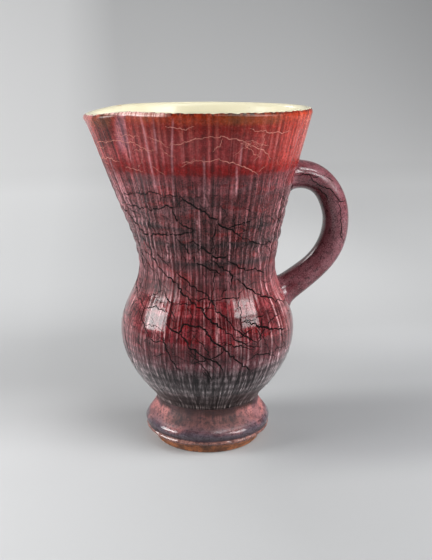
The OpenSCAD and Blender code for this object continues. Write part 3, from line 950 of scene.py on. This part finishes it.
def makeFootGlaze():
    material, shader, place, axes = newMaterial("plumFootGlaze")
    height = axes[2]
    hair = streakNoise(axes, 22.0, 26.0, 3.0, 0.6)
    patch, blot = noise(place, 60.0, 3.0), noise(place, 240.0, 3.0, 0.6)
    mottle, grain = noise(place, 700.0, 3.0, 0.65), noise(place, 1700.0, 2.0)
    level = height + (patch - 0.5) * 0.007 + (hair - 0.5) * 0.003
    colour = level.ramp([(at, footGlaze[name]) for at, name in footGlaze["bands"]])
    pinker = patch.rise(0.50, 0.66) * height.rise(0.011, 0.016) * (1.0 - height.rise(0.020, 0.024))
    colour = (pinker * 0.6).mix(colour, footGlaze["pink"])
    # The cove is satin and clouded; at the front it is brown with painted shade, in streaks and blots
    cove = height.rise(0.0145, 0.0175)
    clouds = noise(place, 130.0, 3.0, 0.6).rise(0.42, 0.60)
    colour = (clouds * cove * 0.6).mix(colour, footGlaze["mauve"])
    facing = facingFront(axes) + (patch - 0.5) * 0.3
    dripsAndFrontShade = 0.72 + blot.rise(0.38, 0.60) * 0.14 + hair.rise(0.40, 0.58) * 0.14
    dripsAndFrontShade = facing.rise(0.56, 0.92) * height.rise(0.0125, 0.0200) * dripsAndFrontShade
    colour = dripsAndFrontShade.mix(colour, footGlaze["brown"])
    rim = height.ramp([(0.0, 1.0), (0.0092, 1.0), (0.0112, 0.0), (0.03, 0.0)])
    colour = rim.mix(colour, height.ramp([(at, footGlaze[name]) for at, name in footGlaze["edgeBands"]]))
    colour = (blot.rise(0.46, 0.66) * 0.55).mix(colour, footGlaze["dark"])
    colour = (mottle.rise(0.50, 0.62) * 0.7).mix(colour, footGlaze["dark"])
    connect(shader, "Base Color", shaded(colour, 0.1 + mottle * 0.9 + grain))
    connect(shader, "Roughness", 0.05 + mottle * 0.08 + cove * 0.55)
    shader.inputs["Specular IOR Level"].default_value = 0.4
    connect(shader, "Normal", bump(mottle * 0.4 + blot * 0.5 + hair * 0.3, 0.0003, 0.6))
    return material


addPiece("glazedFoot", footPoints, footPolygons, makeFootGlaze(), "plum_glaze", ("foot_glaze",))
print("foot glaze made")

# Handle: an oval carried along two curves, larger at its joints, with a fillet where it meets the wall
handle = {
    "topHeight": 161.0, "lowHeight": 90.0, "midHeight": 132.5, "fingerGap": 26.5, "thick": 14.7,
    "wide": 18.0, "topRise": 22.0, "lowSlope": 46.0, "topRun": 20.0, "lowRun": 12.0, "upperRun": 12.5,
    "lowerRun": 28.0, "topFlare": 0.10, "lowFlare": 0.16, "flareShare": 0.55, "root": 9.0, "inside": 3.2,
    "buried": 2.0, "stations": 150, "sides": 96, "samples": 2001, "fillet": 1.5, "filletReach": 1.7,
    "waver": 0.16, "waverTurns": 2.3, "waverBeat": 5.1,
    "mauve": (114, 69, 76), "plum": (88, 37, 43), "dark": (32, 13, 17), "pale": (166, 120, 127),
}


# Radius of the clay wall at a height
def wallRadiusAt(height):
    return float(lineRadius(outerLine(0), np.array(height)))


topJoint = np.array([wallRadiusAt(handle["topHeight"]), handle["topHeight"]])
lowJoint = np.array([wallRadiusAt(handle["lowHeight"]), handle["lowHeight"]])
topWay, lowWay = direction(handle["topRise"]), direction(handle["lowSlope"])
handleFar = np.array([
    wallRadiusAt(handle["midHeight"]) + handle["fingerGap"] + 2 * jug["glaze"] + handle["thick"] / 2,
    handle["midHeight"],
])
upperHalf = [
    topJoint - handle["root"] * topWay, topJoint + handle["topRun"] * topWay,
    handleFar + handle["upperRun"] * upright, handleFar,
]
lowerHalf = [
    handleFar, handleFar - handle["lowerRun"] * upright,
    lowJoint + handle["lowRun"] * lowWay, lowJoint - handle["root"] * lowWay,
]


# Points and outward sides of the handle, at shares along it (0 to 2) and angles round it: from the
# middle line, half the thickness times cosine in its plane and half the width times sine across it
def handleSurface(along, turn):
    upper = along < 1
    share = np.where(upper, along, along - 1)
    middle = np.where(upper[:, None], curvePoints(upperHalf, share), curvePoints(lowerHalf, share))
    side = np.where(upper[:, None], curveSide(upperHalf, share), curveSide(lowerHalf, share))
    fromEnd = np.where(upper, share, 1 - share)
    flare = np.where(upper, handle["topFlare"], handle["lowFlare"])
    size = 1 + flare * np.maximum(0, 1 - fromEnd / handle["flareShare"]) ** 2
    cosine, sine = np.cos(turn)[None, :], np.sin(turn)[None, :]
    thick = (size * handle["thick"] / 2 + jug["glaze"])[:, None]
    wide = (size * handle["wide"] / 2 + jug["glaze"])[:, None]
    waver = handle["waver"] * (
        np.sin(handle["waverTurns"] * np.pi * along[:, None] + 2 * turn[None, :])
        * np.sin(handle["waverBeat"] * along[:, None])
    )
    inPlane, across = thick * cosine, wide * sine
    normal = np.stack([
        side[:, :1] * cosine / thick, sine / wide + 0 * thick, side[:, 1:] * cosine / thick,
    ], -1)
    normal = normal / np.linalg.norm(normal, axis=-1, keepdims=True)
    points = np.stack([
        middle[:, :1] + side[:, :1] * inPlane, across, middle[:, 1:] + side[:, 1:] * inPlane,
    ], -1)
    points = points + normal * waver[..., None]
    outside = np.hypot(points[..., 0], points[..., 1]) - turnedRadius(points[..., 2])
    fillet = handle["fillet"] * np.exp(-np.maximum(outside, 0) / handle["filletReach"])
    points = points + normal * fillet[..., None]
    # The ends stay within the thickness of the wall
    radius = np.hypot(points[..., 0], points[..., 1])
    least = turnedRadius(points[..., 2]) - handle["buried"]
    points[..., :2] = points[..., :2] * (np.maximum(radius, least) / radius)[..., None]
    return points, normal


# Shares along the handle that start and end a little inside the wall
alongAll = np.linspace(0, 2, handle["samples"])
handleLine = np.where(
    (alongAll < 1)[:, None], curvePoints(upperHalf, np.minimum(alongAll, 1)),
    curvePoints(lowerHalf, np.maximum(alongAll - 1, 0)),
)
handleOut = handleLine[:, 0] - turnedRadius(handleLine[:, 1])
keepAlong = alongAll[handleOut > -handle["inside"]]
handleAlong = np.linspace(keepAlong[0], keepAlong[-1], handle["stations"])
handleTurn = 2 * np.pi * np.arange(handle["sides"]) / handle["sides"]
handleGrid = handleSurface(handleAlong, handleTurn)[0]
handleCount = handle["stations"] * handle["sides"]
handleEnds = [handleGrid[0].mean(0), handleGrid[-1].mean(0)]
handlePoints = np.concatenate([handleGrid.reshape(-1, 3), handleEnds])
handleFirst = np.arange(handle["sides"])
handleLast = handleFirst + handleCount - handle["sides"]
handlePolygons = [
    gridQuads(handle["stations"], handle["sides"], 0, False),
    closeRing(handleFirst, handleCount, True), closeRing(handleLast, handleCount + 1, False),
]


def makeHandleGlaze():
    material, shader, place, axes = newMaterial("plumHandleGlaze")
    patch = noise(place, 60.0, 3.0)
    blot = noise(place, 320.0, 3.0, 0.6)
    mottle = noise(place, 900.0, 3.0, 0.7)
    grain = noise(place, 1900.0, 2.0, 0.6)
    colour = patch.rise(0.35, 0.66).mix(handle["mauve"], handle["plum"])
    colour = (blot.rise(0.50, 0.66) * 0.6).mix(colour, handle["dark"])
    colour = (mottle.rise(0.5, 0.66) * 0.7).mix(colour, handle["dark"])
    colour = (grain.rise(0.54, 0.70) * 0.5).mix(colour, handle["pale"])
    connect(shader, "Base Color", colour)
    dull = axes[0].peak(0.0715, 0.005) * axes[2].peak(0.1555, 0.005)  # on its shoulder
    connect(shader, "Roughness", 0.06 + mottle * 0.08 + dull * 0.4)
    connect(shader, "Normal", bump(mottle, 0.0002, 0.4))
    return material


addPiece("glazedHandle", handlePoints, handlePolygons, makeHandleGlaze(), "plum_glaze", ("handle_glaze",))
print("handle made")

# Cracks are thin three-sided bars that follow the surface, dark below the red band and pale above
crackle = {
    "step": 0.6, "leastSteps": 4, "bend": 1.7, "bendDrift": 0.6, "jag": 0.45, "fineJag": 0.16,
    "endReach": 2.0, "proud": 0.05, "sunk": 0.3, "sideTurn": 0.004, "sideRise": 0.25,
    "taper": 8, "taperLeast": 0.3, "slowStep": 7, "slowWidths": (0.6, 1.25), "quickWidths": (0.8, 1.2),
    "stride": 3, "meetReach": 2.2, "seed": 4, "dark": (8, 5, 5), "pale": (206, 138, 124),
}
# Main cracks seen at the front: degrees to the right of the front, and height
frontDark = [
    [(-18, 156), (-14, 154), (-9, 151), (-4, 148), (2, 145), (6, 142), (14, 138), (18, 136), (24, 133),
     (27, 131)],
    [(14, 138), (18, 139), (26, 140), (31, 141), (35, 142)],
    [(-66, 147), (-53, 146), (-45, 147), (-38, 147), (-32, 148), (-26, 150), (-23, 149), (-22, 146),
     (-21, 142), (-17, 140), (-13, 138), (-9, 137)],
    [(-74, 146), (-64, 139), (-53, 132), (-42, 132), (-34, 133), (-25, 134), (-19, 134), (-14, 135),
     (-7, 137)],
    [(-23, 134), (-20, 130), (-16, 128), (-14, 124), (-10, 120), (-7, 118), (-3, 116), (3, 114), (8, 112),
     (11, 110)],
    [(-16, 128), (-14, 130), (-10, 131), (-7, 129), (-2, 126), (2, 123), (7, 121), (14, 122), (19, 122)],
    [(2, 120), (7, 118), (12, 115), (19, 111), (20, 108), (19, 102)],
    [(15, 120), (21, 117), (27, 114), (34, 112), (42, 112), (53, 108)],
    [(-58, 130), (-52, 125), (-47, 118), (-42, 113), (-36, 110), (-26, 106), (-20, 101), (-14, 97),
     (-10, 95), (-4, 92), (-2, 90), (4, 86), (11, 82), (17, 77), (22, 74), (27, 72), (34, 70)],
    [(-25, 112), (-20, 109), (-14, 106), (-7, 102), (-1, 100), (4, 97), (7, 92), (12, 88), (17, 83),
     (22, 79), (27, 76), (32, 73)],
    [(4, 97), (7, 97), (11, 97), (17, 98), (23, 98), (27, 100), (29, 102)],
    [(23, 108), (29, 105), (35, 101), (41, 98), (49, 95), (59, 92), (72, 88)],
    [(-28, 84), (-24, 81), (-19, 80), (-16, 83), (-15, 84), (-9, 84), (-4, 84), (0, 80), (4, 76), (9, 72),
     (14, 68), (21, 62), (29, 56)],
    [(-18, 80), (-15, 76), (-11, 72), (-6, 70), (-1, 67), (5, 64), (8, 61), (10, 57)],
    [(-29, 78), (-27, 72), (-26, 69), (-22, 64), (-20, 60), (-17, 58)],
    [(23, 85), (29, 84), (36, 81), (43, 79), (52, 77), (61, 75)],
]
# Finer cracks that branch from them
frontFine = [
    [(-65, 153), (-53, 155), (-44, 155), (-37, 157), (-30, 155), (-24, 156), (-18, 156)],
    [(18, 146), (19, 142), (19, 139)],
    [(-67, 146), (-60, 144), (-52, 142), (-46, 140), (-42, 137), (-41, 134)],
    [(-1, 100), (3, 98), (4, 96), (6, 93)],
    [(-45, 131), (-45, 125), (-45, 122), (-40, 120), (-35, 117), (-29, 114)],
    [(27, 131), (38, 127), (49, 126), (60, 126)],
    [(-64, 93), (-57, 92), (-49, 89)], [(-35, 100), (-32, 97), (-28, 94)],
    [(-43, 108), (-41, 103), (-39, 100)],
    [(-63, 122), (-53, 120), (-47, 120), (-45, 123)], [(23, 85), (22, 82), (25, 78), (27, 74)],
    [(32, 81), (35, 78), (36, 74), (32, 72)], [(-28, 85), (-26, 87), (-21, 86), (-20, 85)],
    [(-38, 78), (-37, 74), (-34, 73), (-29, 74)], [(-52, 71), (-48, 70), (-44, 66)],
    [(-37, 64), (-31, 66), (-26, 68)],
    [(-9, 72), (-7, 68), (-10, 63)], [(25, 63), (32, 66), (40, 65), (51, 60)], [(11, 74), (22, 72), (30, 69)],
    [(-36, 101), (-30, 96), (-27, 94), (-26, 89), (-28, 86)], [(-55, 87), (-49, 84), (-45, 80), (-39, 75)],
    [(2, 66), (6, 68), (10, 70)],
]
# Pale cracks above the red band
frontPale = [
    [(-20, 183), (-11, 185), (-4, 187), (7, 188), (17, 186), (26, 183), (33, 179), (39, 175)],
    [(-14, 174), (-4, 175), (7, 176), (19, 173), (31, 167)],
    [(-72, 182), (-61, 183), (-56, 184), (-42, 183), (-33, 179)],
    [(22, 192), (29, 190), (36, 189), (50, 189)],
    [(3, 180), (6, 183), (8, 187)],
    [(-80, 173), (-62, 174), (-58, 172)],
    [(-55, 169), (-47, 169), (-41, 168)],
    [(-21, 193), (-13, 192), (-6, 193)],
]


# A jagged line of even steps through points (degrees, height): straight between bends that miss it a little
def jaggedPath(points, draw):
    points = np.asarray(points, float)
    flat = np.stack([np.radians(points[:, 0]) * turnedRadius(points[:, 1]), points[:, 1]], -1)
    length = np.append(0, np.cumsum(np.linalg.norm(np.diff(flat, axis=0), axis=1)))
    at = np.linspace(0, length[-1], max(crackle["leastSteps"], int(length[-1] / crackle["step"])))
    bends = np.arange(0, length[-1] + 2 * crackle["bend"], crackle["bend"])
    bends = bends + draw.uniform(-crackle["bendDrift"], crackle["bendDrift"], len(bends))
    miss = crackle["jag"] * draw.normal(0, 1, (2, len(bends)))
    shift = np.stack([np.interp(at, bends, row) for row in miss])
    shift = shift + crackle["fineJag"] * draw.normal(0, 1, shift.shape)
    shift = shift * np.minimum(1, np.minimum(at, length[-1] - at) / crackle["endReach"])
    height = np.interp(at, length, points[:, 1]) + shift[0]
    degrees = np.interp(at, length, points[:, 0]) + np.degrees(shift[1] / turnedRadius(height))
    return degrees, height


# The wall's points and outward sides along a path
def wallPath(degrees, height):
    angle = np.radians(degrees + frontTurn)
    turned, raised = angle + crackle["sideTurn"], height + crackle["sideRise"]
    here = polarPoints(angle, glazedRadius(angle, height), height)
    beside = polarPoints(turned, glazedRadius(turned, height), height)
    above = polarPoints(angle, glazedRadius(angle, raised), raised)
    side = np.cross(beside - here, above - here)
    return here, side / np.linalg.norm(side, axis=1)[:, None]


# A three-sided bar along points, its top edges just proud and its keel sunk in the surface
def crackBar(points, sides, width, start):
    way = np.gradient(points, axis=0)
    way = way / np.linalg.norm(way, axis=1)[:, None]
    across = np.cross(sides, way)
    top, keel = points + crackle["proud"] * sides, points - crackle["sunk"] * sides
    ring = np.stack([top - across * width[:, None], top + across * width[:, None], keel], 1)
    count = len(points)
    quads = gridQuads(count, 3, start, True)
    last = start + 3 * (count - 1)
    caps = np.array([[start, start + 1, start + 2], [last + 2, last + 1, last]])
    return ring.reshape(-1, 3), quads, caps


# One piece of many bars, in one plain colour
def addCracks(name, bars, colour, slot):
    points, quads, caps, start = [], [], [], 0
    for path, sides, width in bars:
        ring, barQuads, barCaps = crackBar(path, sides, width, start)
        points.append(ring)
        quads.append(barQuads)
        caps.append(barCaps)
        start += len(ring)
    material, shader, place, axes = newMaterial(name)
    deeper = tuple(0.8 * part for part in colour)
    connect(shader, "Base Color", noise(place, 300.0).rise(0.3, 0.8).mix(colour, deeper))
    shader.inputs["Roughness"].default_value = 0.6
    shader.inputs["Specular IOR Level"].default_value = 0.1
    addPiece(name, np.concatenate(points), [np.concatenate(quads), np.concatenate(caps)], material, slot)


# Width along a crack: uneven, and fine at both ends
def crackWidth(count, size, draw):
    place = np.arange(count)
    ends = np.minimum(1, np.minimum(place + 1, place[::-1] + 1) / crackle["taper"])
    spots = np.arange(0, count + crackle["slowStep"], crackle["slowStep"])
    slow = np.interp(place, spots, draw.uniform(*crackle["slowWidths"], len(spots)))
    full = crackle["taperLeast"] + (1 - crackle["taperLeast"]) * ends
    return size * full * slow * draw.uniform(*crackle["quickWidths"], count)


# A crack that wanders on from a start, and stops where it meets an earlier one
def wanderCrack(start, heading, length, met, draw, turn):
    degrees, height = start
    path, stride = [(degrees, height)], crackle["stride"]
    for number in range(int(length / stride)):
        heading += draw.normal(0, turn)
        height += stride * math.sin(math.radians(heading))
        radius = float(turnedRadius(np.array(height)))
        degrees += math.degrees(stride * math.cos(math.radians(heading)) / radius)
        path.append((degrees, height))
        if len(met) and number > 1:
            apart = np.hypot(np.radians(met[:, 0] - degrees) * radius, met[:, 1] - height)
            if apart.min() < crackle["meetReach"]:
                path.append(tuple(met[apart.argmin()]))
                break
    return path


# Kinds of crack on the rest of the wall: starts lie on an arc (first angle, span, even parts) and in a
# range of heights, or on other cracks; headings are degrees from level, and keep is a range of heights
crackKinds = {
    "dark": {
        "count": 30, "arc": (78, 190, 30), "starts": (84, 156), "headings": [-38], "spread": 8,
        "lengths": (26, 92), "turn": 9, "keep": (48, 200), "joins": True, "width": 0.41, "seed": 31,
    },
    "branch": {
        "count": 40, "headings": [20, 75, 150, -100], "spread": 14, "lengths": (9, 26), "turn": 12,
        "keep": (48, 160), "joins": True, "width": 0.28, "seed": 35,
    },
    "pale": {
        "count": 22, "arc": (58, 215, 22), "starts": (168, 194), "headings": [0], "spread": 14,
        "lengths": (15, 42), "turn": 7, "keep": (166, 195), "joins": False, "width": 0.14, "seed": 32,
    },
    "thin": {
        "count": 340, "arc": (-180, 360, 1), "starts": (62, 158), "headings": [-40, -15, 50, 100],
        "spread": 18, "lengths": (7, 24), "turn": 16, "keep": (50, 160), "joins": False,
        "width": 0.15, "seed": 33,
    },
    "finePale": {
        "count": 46, "arc": (-180, 360, 1), "starts": (168, 193), "headings": [0], "spread": 35,
        "lengths": (7, 20), "turn": 10, "keep": (166, 195), "joins": False, "width": 0.084, "seed": 34,
    },
}


# All the points of some paths
def pathPoints(paths):
    return np.concatenate([np.array(path, float) for path in paths])


# Adds cracks of one kind to paths, and gives back the points at which later ones stop
def scatterCracks(kindName, paths, met, draw):
    kind = crackKinds[kindName]
    for number in range(kind["count"]):
        if "arc" in kind:
            first, span, parts = kind["arc"]
            turn = first + span * (number % parts + draw.random()) / parts
            start = (turn, draw.uniform(*kind["starts"]))
        else:
            source = paths[draw.integers(0, len(paths))]
            start = source[draw.integers(0, len(source))]
        several = len(kind["headings"]) > 1
        heading = draw.choice(kind["headings"]) if several else kind["headings"][0]
        heading = heading + draw.normal(0, kind["spread"])
        path = wanderCrack(start, heading, draw.uniform(*kind["lengths"]), met, draw, kind["turn"])
        path = [point for point in path if kind["keep"][0] < point[1] < kind["keep"][1]]
        if len(path) > 2:
            paths.append(path)
            if kind["joins"]:
                met = np.concatenate([met, np.array(path, float)])
    return met


# Paths of each kind, those seen at the front first
def crackPaths():
    draw = np.random.default_rng(crackle["seed"])
    dark, pale, thin, finePale, free = list(frontDark), list(frontPale), [], [], np.zeros((0, 2))
    met = scatterCracks("dark", dark, pathPoints(dark), draw)
    mainCount = len(dark)
    dark += frontFine
    met = scatterCracks("branch", dark, np.concatenate([met, pathPoints(frontFine)]), draw)
    scatterCracks("pale", pale, free, draw)
    scatterCracks("thin", thin, met, draw)
    scatterCracks("finePale", finePale, free, draw)
    return {
        "dark": dark[:mainCount], "thin": thin, "branch": dark[mainCount:],
        "pale": pale, "finePale": finePale,
    }


wallCracks = crackPaths()


# Points, sides and widths along the paths of one kind
def wallBars(kindName):
    draw = np.random.default_rng(crackKinds[kindName]["seed"])
    bars = []
    for path in wallCracks[kindName]:
        degrees, height = jaggedPath(path, draw)
        points, sides = wallPath(degrees, height)
        bars.append((points, sides, crackWidth(len(points), crackKinds[kindName]["width"], draw)))
    return bars


darkBars = wallBars("dark") + wallBars("thin") + wallBars("branch")
addCracks("darkCrackle", darkBars, crackle["dark"], "red_glaze")
addCracks("paleCrackle", wallBars("pale") + wallBars("finePale"), crackle["pale"], "red_glaze")

# Cracks on the handle: share along it and degrees round it, on the side seen at the front
handleCracks = [
    [(0.11, 268), (0.18, 262), (0.25, 262), (0.33, 285), (0.42, 294), (0.46, 280), (0.56, 268), (0.62, 262),
     (0.72, 260)],
    [(0.72, 260), (0.76, 224)], [(0.26, 266), (0.33, 268), (0.36, 250)],
    [(0.72, 260), (0.89, 268), (1.1, 260), (1.15, 232)],
    [(0.42, 238), (0.47, 238), (0.52, 232)], [(0.41, 302), (0.53, 298), (0.65, 303)],
]
handleCrackle = {
    "seed": 41, "width": 0.27, "alongSteps": 90, "turnSteps": 0.18, "leastSteps": 6, "bendSteps": 3,
    "alongMiss": 0.006, "turnMiss": 3.0, "farCount": 4, "farShift": 0.04,
}


# Points and sides along jagged lines on the handle, with a few more on its far side
def handleBars():
    value = handleCrackle
    draw = np.random.default_rng(value["seed"])
    farPaths = [
        [(share + value["farShift"], 360 - turn) for share, turn in path]
        for path in handleCracks[:value["farCount"]]
    ]
    bars = []
    for path in handleCracks + farPaths:
        share, turn = np.array(path, float).T
        moved, turned = np.abs(np.diff(share)).sum(), np.abs(np.diff(turn)).sum()
        count = int(value["alongSteps"] * moved + value["turnSteps"] * turned) + value["leastSteps"]
        place, spots = np.linspace(0, 1, count), np.linspace(0, 1, len(path))
        bends = np.linspace(0, 1, count // value["bendSteps"] + 2)
        alongMiss = draw.normal(0, value["alongMiss"], len(bends))
        along = np.interp(place, spots, share) + np.interp(place, bends, alongMiss)
        turnMiss = draw.normal(0, value["turnMiss"], len(bends))
        around = np.interp(place, spots, turn) + np.interp(place, bends, turnMiss)
        surface, sides = handleSurface(along, np.radians(around))
        number = np.arange(count)
        width = crackWidth(count, value["width"], draw)
        bars.append((surface[number, number], sides[number, number], width))
    return bars


addCracks("handleCrackle", handleBars(), crackle["dark"], "plum_glaze")
print("crackle made")

# Bare clay and slip for the solids that stay in sight
clayValues = {"orange": (160, 98, 62), "brown": (96, 60, 42), "speck": (40, 28, 24), "slip": (140, 96, 70)}


def makeClay(name, light, dark):
    material, shader, place, axes = newMaterial(name)
    cloud = noise(place, 130.0, 3.0)
    specks = noise(place, 900.0, 3.0, 0.65).rise(0.52, 0.64)
    colour = cloud.rise(0.38, 0.62).mix(light, dark)
    colour = (specks * 0.75).mix(colour, clayValues["speck"])
    connect(shader, "Base Color", colour)
    shader.inputs["Roughness"].default_value = 0.75
    connect(shader, "Normal", bump(noise(place, 1500.0, 3.0), 0.0003, 0.5))
    return material


clayMaterial = makeClay("bareClay", clayValues["orange"], clayValues["brown"])
slipMaterial = makeClay("joiningSlip", clayValues["slip"], clayValues["brown"])
for nodeName in ("body", "spout", "foot", "handle", "spout_slip", "foot_slip", "handle_slip"):
    node = bpy.data.objects[nodeName]
    node.data.materials.clear()
    node.data.materials.append(slipMaterial if nodeName.endswith("slip") else clayMaterial)
print("clay and slip dressed")

# Floor that sweeps up into a backdrop, one pale sheet, darker towards the far right
stage = {
    "half": 4.0, "near": -3.0, "bend": 1.3, "radius": 1.2, "top": 2.6,
    "tone": [
        (-0.3, (161, 162, 163)), (0.02, (170, 171, 172)), (0.12, (160, 161, 162)), (0.21, (159, 160, 161)),
        (0.34, (163, 164, 165)), (0.6, (167, 168, 169)), (1.0, (174, 175, 176)), (3.0, (184, 185, 186)),
    ],
    "shade": (164, 165, 167), "shadow": (142, 143, 145),
    "rays": ("Is Camera Ray", "Is Glossy Ray", "Is Transmission Ray"),
    "glow": [(-0.5, 0.22), (-0.12, 0.14), (0.03, 0.0), (0.3, 0.0)], "outer": 0.40,
    "far": [
        (0.2, 0.0), (0.3, 0.07), (0.38, 0.11), (0.53, 0.15), (0.75, 0.21), (1.02, 0.29), (1.4, 0.31),
        (1.95, 0.27), (2.2, 0.25), (2.6, 0.21),
    ],
    "bendRows": 40,
}


def makeStage():
    turn = np.linspace(0, 0.5 * np.pi, stage["bendRows"])
    swept = stage["bend"] + stage["radius"] * np.sin(turn)
    depth = np.concatenate([[stage["near"]], swept, [stage["bend"] + stage["radius"]]])
    height = np.concatenate([[0], stage["radius"] * (1 - np.cos(turn)), [stage["top"]]])
    leftEdge = np.stack([np.full_like(depth, -stage["half"]), depth, height], -1)
    points = np.concatenate([leftEdge, leftEdge * np.array([-1, 1, 1])]) / millimetre
    here = np.arange(len(depth) - 1)
    quads = np.stack([here, here + len(depth), here + len(depth) + 1, here + 1], -1)
    material, shader, place, axes = newMaterial("paleSheet")
    across, along = axes[0], axes[1] + axes[2]
    # Painted shade: darker to the right, far off and by the foot, with a painted shadow of the jug beside it
    shade = across.rise(-0.2, 0.9) * along.rise(0.2, 2.2)
    shade = shade + across.rise(0.0, 0.25) * (1.0 - along.rise(0.05, 0.25))
    colour = (shade + (noise(place, 3.0) - 0.5) * 0.04).mix(along.ramp(stage["tone"]), stage["shade"])
    beside = across.rise(0.0, 0.06) * (1.0 - across.rise(0.10, 0.22) * 0.5)
    beside = beside * along.rise(-0.085, -0.035) * (1.0 - along.rise(0.02, 0.07))
    connect(shader, "Base Color", (beside * 0.7).mix(colour, stage["shadow"]))
    # Paler to the left and far off, where the photo's backdrop is lit
    glow = across.ramp(stage["glow"]) + along.ramp(stage["far"]) * (1.0 - across.rise(0.5, 1.3) * 0.4)
    right = across.rise(0.0, 0.12) * (1.0 - across.rise(0.15, 0.34) * 0.7)
    glow = glow + right * along.rise(0.07, 0.20) * (1.0 - along.rise(0.45, 1.0)) * 0.15
    left = 1.0 - across.rise(-0.12, -0.03)
    glow = glow + left * along.rise(-0.06, -0.01) * (1.0 - along.rise(0.05, 0.11)) * 0.05
    rays = [place.make("ShaderNodeLightPath", None, None, name) for name in stage["rays"]]
    seen = rays[0].math("MINIMUM", rays[0] + rays[1] + rays[2], 1.0)
    # Far parts of the floor, out of the lights' reach, look as pale as the rest
    reach = 1.0 - along.rise(-1.9, -0.6)
    reach = reach.math("MAXIMUM", reach, (across * across).rise(1.0, 4.5))
    glow = glow * seen + reach * rays[0] * stage["outer"]
    connect(shader, "Emission Color", vector(glow, glow, glow))
    shader.inputs["Emission Strength"].default_value = 1.0
    shader.inputs["Roughness"].default_value = 0.7
    shader.inputs["Specular IOR Level"].default_value = 0.2
    sheet = addPiece("sheet", points, [quads], material)


makeStage()

# Low soft boxes to the sides, which the belly mirrors, wide fills beside them that leave no mirror
# image, one box high at the right and a small one behind; degrees, metres and watts
lights = {
    "left": {"azimuth": -83.5, "rise": 16.0, "roll": 12.0, "size": (0.52, 0.31), "power": 9.0},
    "rightHigh": {"azimuth": 50.5, "rise": 26.8, "roll": -11.0, "size": (0.56, 0.138), "power": 3.6},
    "rightLow": {"azimuth": 53.0, "rise": 17.6, "roll": -11.0, "size": (0.42, 0.085), "power": 1.4},
    "leftFill": {
        "azimuth": -82.0, "rise": 12.0, "away": 1.1, "size": (0.6, 0.6), "power": 6.5, "hidden": True,
    },
    "rightFill": {
        "azimuth": 78.0, "rise": 14.0, "away": 1.1, "size": (0.6, 0.6), "power": 13.0, "hidden": True,
    },
    "above": {"azimuth": 36.0, "rise": 51.0, "away": 1.6, "size": (1.1, 0.28), "power": 11.0},
    "behind": {"azimuth": -145.0, "rise": 32.0, "away": 1.2, "size": (0.24, 0.24), "power": 1.4},
}
aim = np.array([0.0, 0.0, 0.09])
for lightName, value in lights.items():
    data = bpy.data.lights.new(lightName, "AREA")
    data.shape = "RECTANGLE"
    data.size, data.size_y = value["size"]
    data.energy = value["power"]
    lamp = bpy.data.objects.new(lightName, data)
    flat, up = math.radians(value["azimuth"]), math.radians(value["rise"])
    way = np.array([math.sin(flat) * math.cos(up), -math.cos(flat) * math.cos(up), math.sin(up)])
    lamp.location = aim + value.get("away", 1.0) * way
    turn = Matrix.Rotation(flat, 3, "Z") @ Matrix.Rotation(0.5 * math.pi - up, 3, "X")
    roll = math.radians(value.get("roll", 0.0))
    lamp.rotation_euler = (turn @ Matrix.Rotation(roll, 3, "Z")).to_euler()
    lamp.visible_glossy = not value.get("hidden")
    scene.collection.objects.link(lamp)

world = bpy.data.worlds.new("surroundings")
world.use_nodes = True
# Pale where the camera sees past the sheet, dim as light
lit = world.node_tree.nodes["Background"]
lit.inputs["Color"].default_value = tone((200, 201, 202))
lit.inputs["Strength"].default_value = 0.30
seen = world.node_tree.nodes.new("ShaderNodeBackground")
seen.inputs["Color"].default_value = tone((206, 207, 208))
blend = world.node_tree.nodes.new("ShaderNodeMixShader")
path = world.node_tree.nodes.new("ShaderNodeLightPath")
world.node_tree.links.new(path.outputs["Is Camera Ray"], blend.inputs[0])
world.node_tree.links.new(lit.outputs[0], blend.inputs[1])
world.node_tree.links.new(seen.outputs[0], blend.inputs[2])
world.node_tree.links.new(blend.outputs[0], world.node_tree.nodes["World Output"].inputs["Surface"])
scene.world = world
print("stage and lights set")
